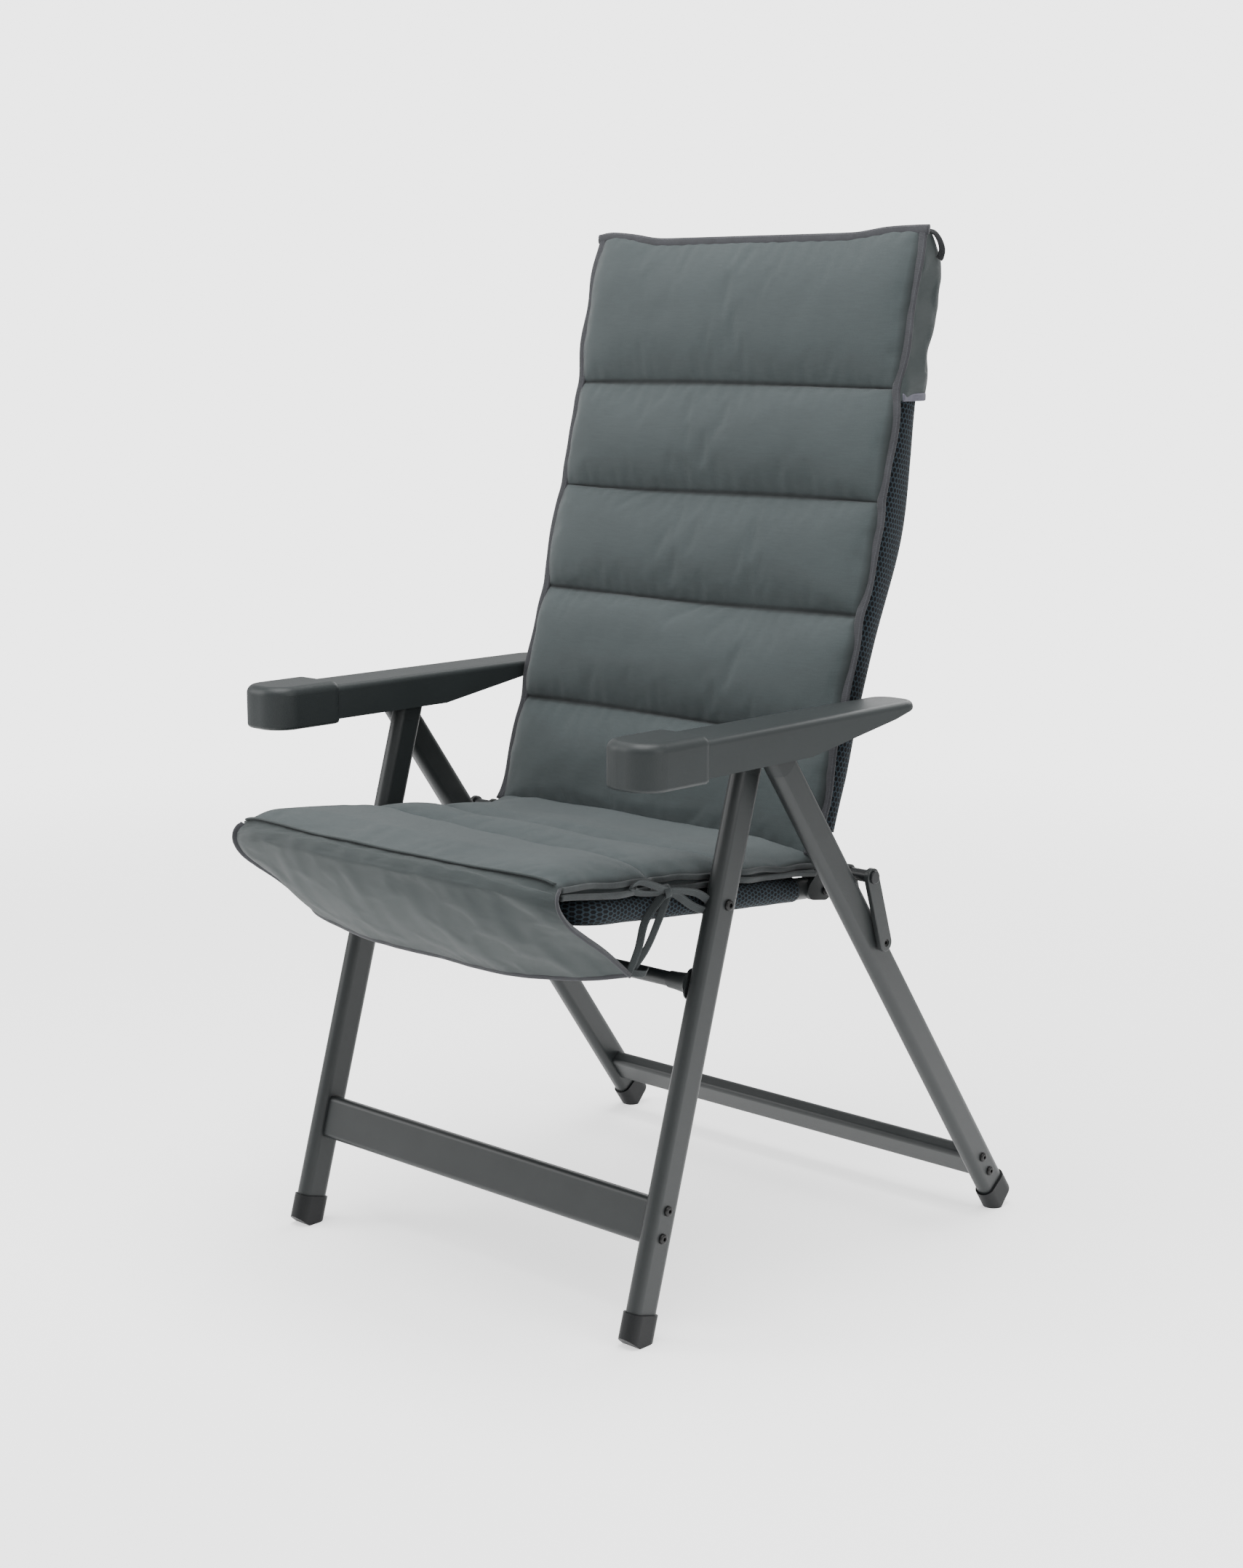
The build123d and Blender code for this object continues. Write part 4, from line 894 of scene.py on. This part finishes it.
def flap(top):
    """Front flap: hangs from the front seam, curves back under the seat, its corners tied up.

    Its middle follows one side-view curve and its edges another; a power of the distance from
    the middle turns the first into the second. Its first rows blend into the seat cover's edge.
    """
    rows, columns = 60, 120
    t = np.linspace(0, 1, rows)
    middle = curve_through([(-0.3777, 0.5165), (-0.3860, 0.5140), (-0.3912, 0.5070), (-0.3915, 0.4960),
                            (-0.3800, 0.4680), (-0.3590, 0.4370), (-0.3300, 0.4065), (-0.2980, 0.3840)],
                           rows)
    edge = curve_through([(-0.3586, 0.5057), (-0.3640, 0.5035), (-0.3672, 0.4965), (-0.3650, 0.4860),
                          (-0.3540, 0.4715), (-0.3340, 0.4560), (-0.3010, 0.4330), (-0.2660, 0.4040)],
                         rows)
    u = np.linspace(-1, 1, columns)
    far = np.abs(u)[None, :] ** 3.2
    y = middle[:, :1] * (1 - far) + edge[:, :1] * far
    z = middle[:, 1:] * (1 - far) + edge[:, 1:] * far
    half = (SEAT_HALF + 0.010 * np.sin(np.clip(t * 1.15, 0, 1) * np.pi / 2))[:, None]
    x = u[None, :] * half
    slack = np.clip(t * 5, 0, 1)[:, None] * np.clip((1 - np.abs(u)) * 12, 0, 1)[None, :]
    pull = 0.0028 * np.sin((np.abs(x) * 0.9 + (z - 0.45)) * 60 - 0.7) * np.abs(u)[None, :] ** 2
    waves = pull + 0.0020 * ripples(x, z, 0.20, 7, 61) + 0.0004 * ripples(x, z * 0.4, 0.03, 9, 63)
    y = y - slack * waves
    blend = np.clip(1 - t / 0.10, 0, 1)[:, None, None] ** 2
    border_x = top[0, :, 0]
    edge_x = np.interp(u, np.linspace(-1, 1, top.shape[1]), border_x)
    front = np.stack([np.interp(edge_x, border_x, top[0, :, i]) for i in range(3)], axis=1)
    points = np.stack([x, y, z], axis=-1)
    points = points * (1 - blend) + (front[None] + points - points[:1]) * blend
    held = np.zeros(x.shape, bool)
    held[[0, -1]] = True
    held[:, [0, -1]] = True
    points = settle(points, held, pressure=0.5, growth=0.0012, cap=0.003)
    uv = np.stack(np.broadcast_arrays(t[:, None] * 0.16, x), axis=-1)
    faces = grid_quads(rows, columns)[:, ::-1]
    made = piece("front_flap_cloth", points, faces, uv, plain_cloth, "seat")
    thickened(rounded_off(made), 0.0016)
    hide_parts("front_flap")
    for word, column, sign in (("right", 0, -1), ("left", -1, 1)):
        path = points[1:, column].copy()
        path[:, 0] -= sign * 0.0010
        rising, backing = np.gradient(path[:, 2]), -np.gradient(path[:, 1])
        across = np.stack([np.full(len(path), 0.5), rising, backing], axis=1)
        size = np.linalg.norm(across[:, 1:], axis=1)[:, None]
        across[:, 1:] *= 0.5 * sign / size
        name = f"flap_binding_{word}"
        band(name, path, across, 0.0100, 0.0040, edge_tape, "seat")
    hem = points[-1].copy()
    hem[:, 2] += 0.0008
    hem_lean = (0, -0.35, 1)
    band("flap_hem", hem[::-1], hem_lean, 0.0068, 0.0042, edge_tape, "seat")
    seam = top[0].copy()
    seam[:, 2] += 0.0008
    band("front_topstitch", seam[2:-2], (0, -0.9, 0.3), 0.0070, 0.0030, plain_cloth,
                      "seat")


# ------------------------------------------------------------------ ties, bows and the corner loop
def ties():
    """Two tapes from each flap corner up to a bow under the seat edge, modelled as flat straps.

    The right side's tapes hang a little lower, where the seat hides them.
    """
    tape_thick = 0.0012
    for word, sign, hidden in (("left", 1, 0.0), ("right", -1, 0.007)):
        def strap(name, points, across, width=0.0088, count=60):
            route = curve_through([(sign * x, y, z - hidden) for x, y, z in points], count)
            turned = np.linspace(0, 1, count)[:, None]
            lean = np.array(across[0])[None] * (1 - turned) + np.array(across[1])[None] * turned
            lean = lean * np.array([sign, 1, 1])
            made = band(name, route, lean, width, tape_thick, dark_tape, "seat")
            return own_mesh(made)

        first = strap(f"tie_front_{word}",
                      [(0.2600, -0.266, 0.405), (0.2615, -0.253, 0.430), (0.2600, -0.240, 0.458),
                       (0.2620, -0.214, 0.482)],
                      ((0.2, 0.9, 0.3), (0.7, 0.7, -0.1)))
        strap(f"tie_rear_{word}",
              [(0.2590, -0.260, 0.407), (0.2600, -0.238, 0.428), (0.2625, -0.223, 0.455),
               (0.2630, -0.209, 0.481)],
              ((0.1, 0.9, -0.3), (0.5, 0.8, 0.2)))
        loop = strap(f"tie_bow_front_{word}",
                     [(0.2640, -0.211, 0.484), (0.2660, -0.232, 0.4935), (0.2650, -0.254, 0.5010),
                      (0.2610, -0.261, 0.4955), (0.2585, -0.250, 0.4880), (0.2600, -0.230, 0.4840),
                      (0.2620, -0.212, 0.4825)],
                     ((0.5, -0.2, 0.9), (0.6, -0.1, 0.8)))
        strap(f"tie_bow_rear_{word}",
              [(0.2640, -0.210, 0.4845), (0.2670, -0.190, 0.4815), (0.2680, -0.165, 0.4740),
               (0.2670, -0.146, 0.4600), (0.2650, -0.150, 0.4530), (0.2640, -0.172, 0.4620),
               (0.2630, -0.195, 0.4770), (0.2620, -0.210, 0.4830)],
              ((0.5, 0.3, 0.9), (0.6, 0.3, 0.8)), 0.0092)
        strap(f"tie_knot_{word}",
              [(0.2600, -0.2120, 0.4905), (0.2650, -0.2135, 0.4890), (0.2668, -0.2120, 0.4835),
               (0.2650, -0.2100, 0.4780), (0.2600, -0.2095, 0.4765)],
              ((0.1, 1.0, 0.2), (0.1, 1.0, 0.2)), 0.0095, 30)
        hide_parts(f"tie_tapes_{word}")
        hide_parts(f"tie_bow_{word}")
        strap(f"tie_tail_{word}",
              [(0.2600, -0.264, 0.4060), (0.2625, -0.255, 0.4035), (0.2640, -0.246, 0.4020),
               (0.2630, -0.240, 0.4055)],
              ((0.1, 0.2, 1.0), (0.3, 0.3, 0.9)), 0.0075, 24)


def corner_loop():
    """Small tape loop behind the back cover's top left corner, hanging outwards and down."""
    count = 46
    path = curve_through([(0.2520, 0.2410, 1.1715), (0.2570, 0.2450, 1.1690), (0.2605, 0.2500, 1.1610),
                          (0.2620, 0.2530, 1.1510), (0.2610, 0.2520, 1.1430), (0.2600, 0.2500, 1.1400)],
                         count)
    turned = np.linspace(0, 1, count)[:, None]
    across = np.array([-0.35, 0.75, 0.5]) * (1 - turned) + np.array([0.75, 0.66, 0.1]) * turned
    made = band("corner_loop_tape", path, across, 0.0085, 0.0018, black_tape, "back")
    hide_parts("corner_tape_loop")


back_top = back_cover()
back_bindings(back_top)
hood(back_top)
back_sling()
seat_sling()
seat_top = seat_cover()
seat_bindings()
flap(seat_top)
ties()
corner_loop()

# ------------------------------------------------------------------ floor, light and camera
floor_mesh = bpy.data.meshes.new("floor")
far = 30.0
floor_corners = [(-far, -far, 0), (far, -far, 0), (far, far, 0), (-far, far, 0)]
floor_mesh.from_pydata(floor_corners, [], [(0, 1, 2, 3)])
floor_mesh.materials.append(pale_floor("floor", (0.90, 0.90, 0.90)))
floor = bpy.data.objects.new("floor", floor_mesh)
bpy.context.scene.collection.objects.link(floor)

# The camera sees a brighter world than the one that lights the chair.
WORLD_LIGHT, WORLD_SEEN = 0.80, 3.6
world = bpy.data.worlds.new("studio")
bpy.context.scene.world = world
world.use_nodes = True
backdrop = world.node_tree.nodes["Background"]
backdrop.inputs["Color"].default_value = (1.0, 1.0, 1.0, 1)
seen = world.node_tree.nodes.new("ShaderNodeLightPath")
strength = world.node_tree.nodes.new("ShaderNodeMapRange")
strength.inputs["To Min"].default_value = WORLD_LIGHT
strength.inputs["To Max"].default_value = WORLD_SEEN
world.node_tree.links.new(seen.outputs["Is Camera Ray"], strength.inputs["Value"])
world.node_tree.links.new(strength.outputs["Result"], backdrop.inputs["Strength"])


def aimed(made, place, target):
    """Puts a light or camera at a place, looking at a target."""
    made.location = place
    look = Vector(target) - Vector(place)
    made.rotation_euler = look.to_track_quat("-Z", "Y").to_euler()
    bpy.context.scene.collection.objects.link(made)


def soft_light(name, place, size, power):
    """Large rectangular softbox that faces the chair's middle."""
    lamp = bpy.data.lights.new(name, "AREA")
    lamp.shape = "RECTANGLE"
    lamp.size, lamp.size_y = size
    lamp.energy = power
    aimed(bpy.data.objects.new(name, lamp), place, (0, 0, 0.6))


soft_light("overhead softbox", (0.1, -0.5, 3.4), (2.6, 2.6), 190)
soft_light("left softbox", (-2.6, -2.2, 1.9), (1.6, 2.2), 70)
soft_light("right softbox", (3.0, 0.1, 1.7), (1.2, 2.2), 36)
soft_light("rear softbox", (-0.6, 3.0, 2.2), (2.4, 1.6), 60)

camera = bpy.data.cameras.new("camera")
camera.lens = 57.20
camera.sensor_fit = "VERTICAL"
camera.sensor_height = 36.0
viewer = bpy.data.objects.new("camera", camera)
aimed(viewer, (1.9613, -2.1042, 1.0678), (0, 0.002, 0.5362))
bpy.context.scene.camera = viewer
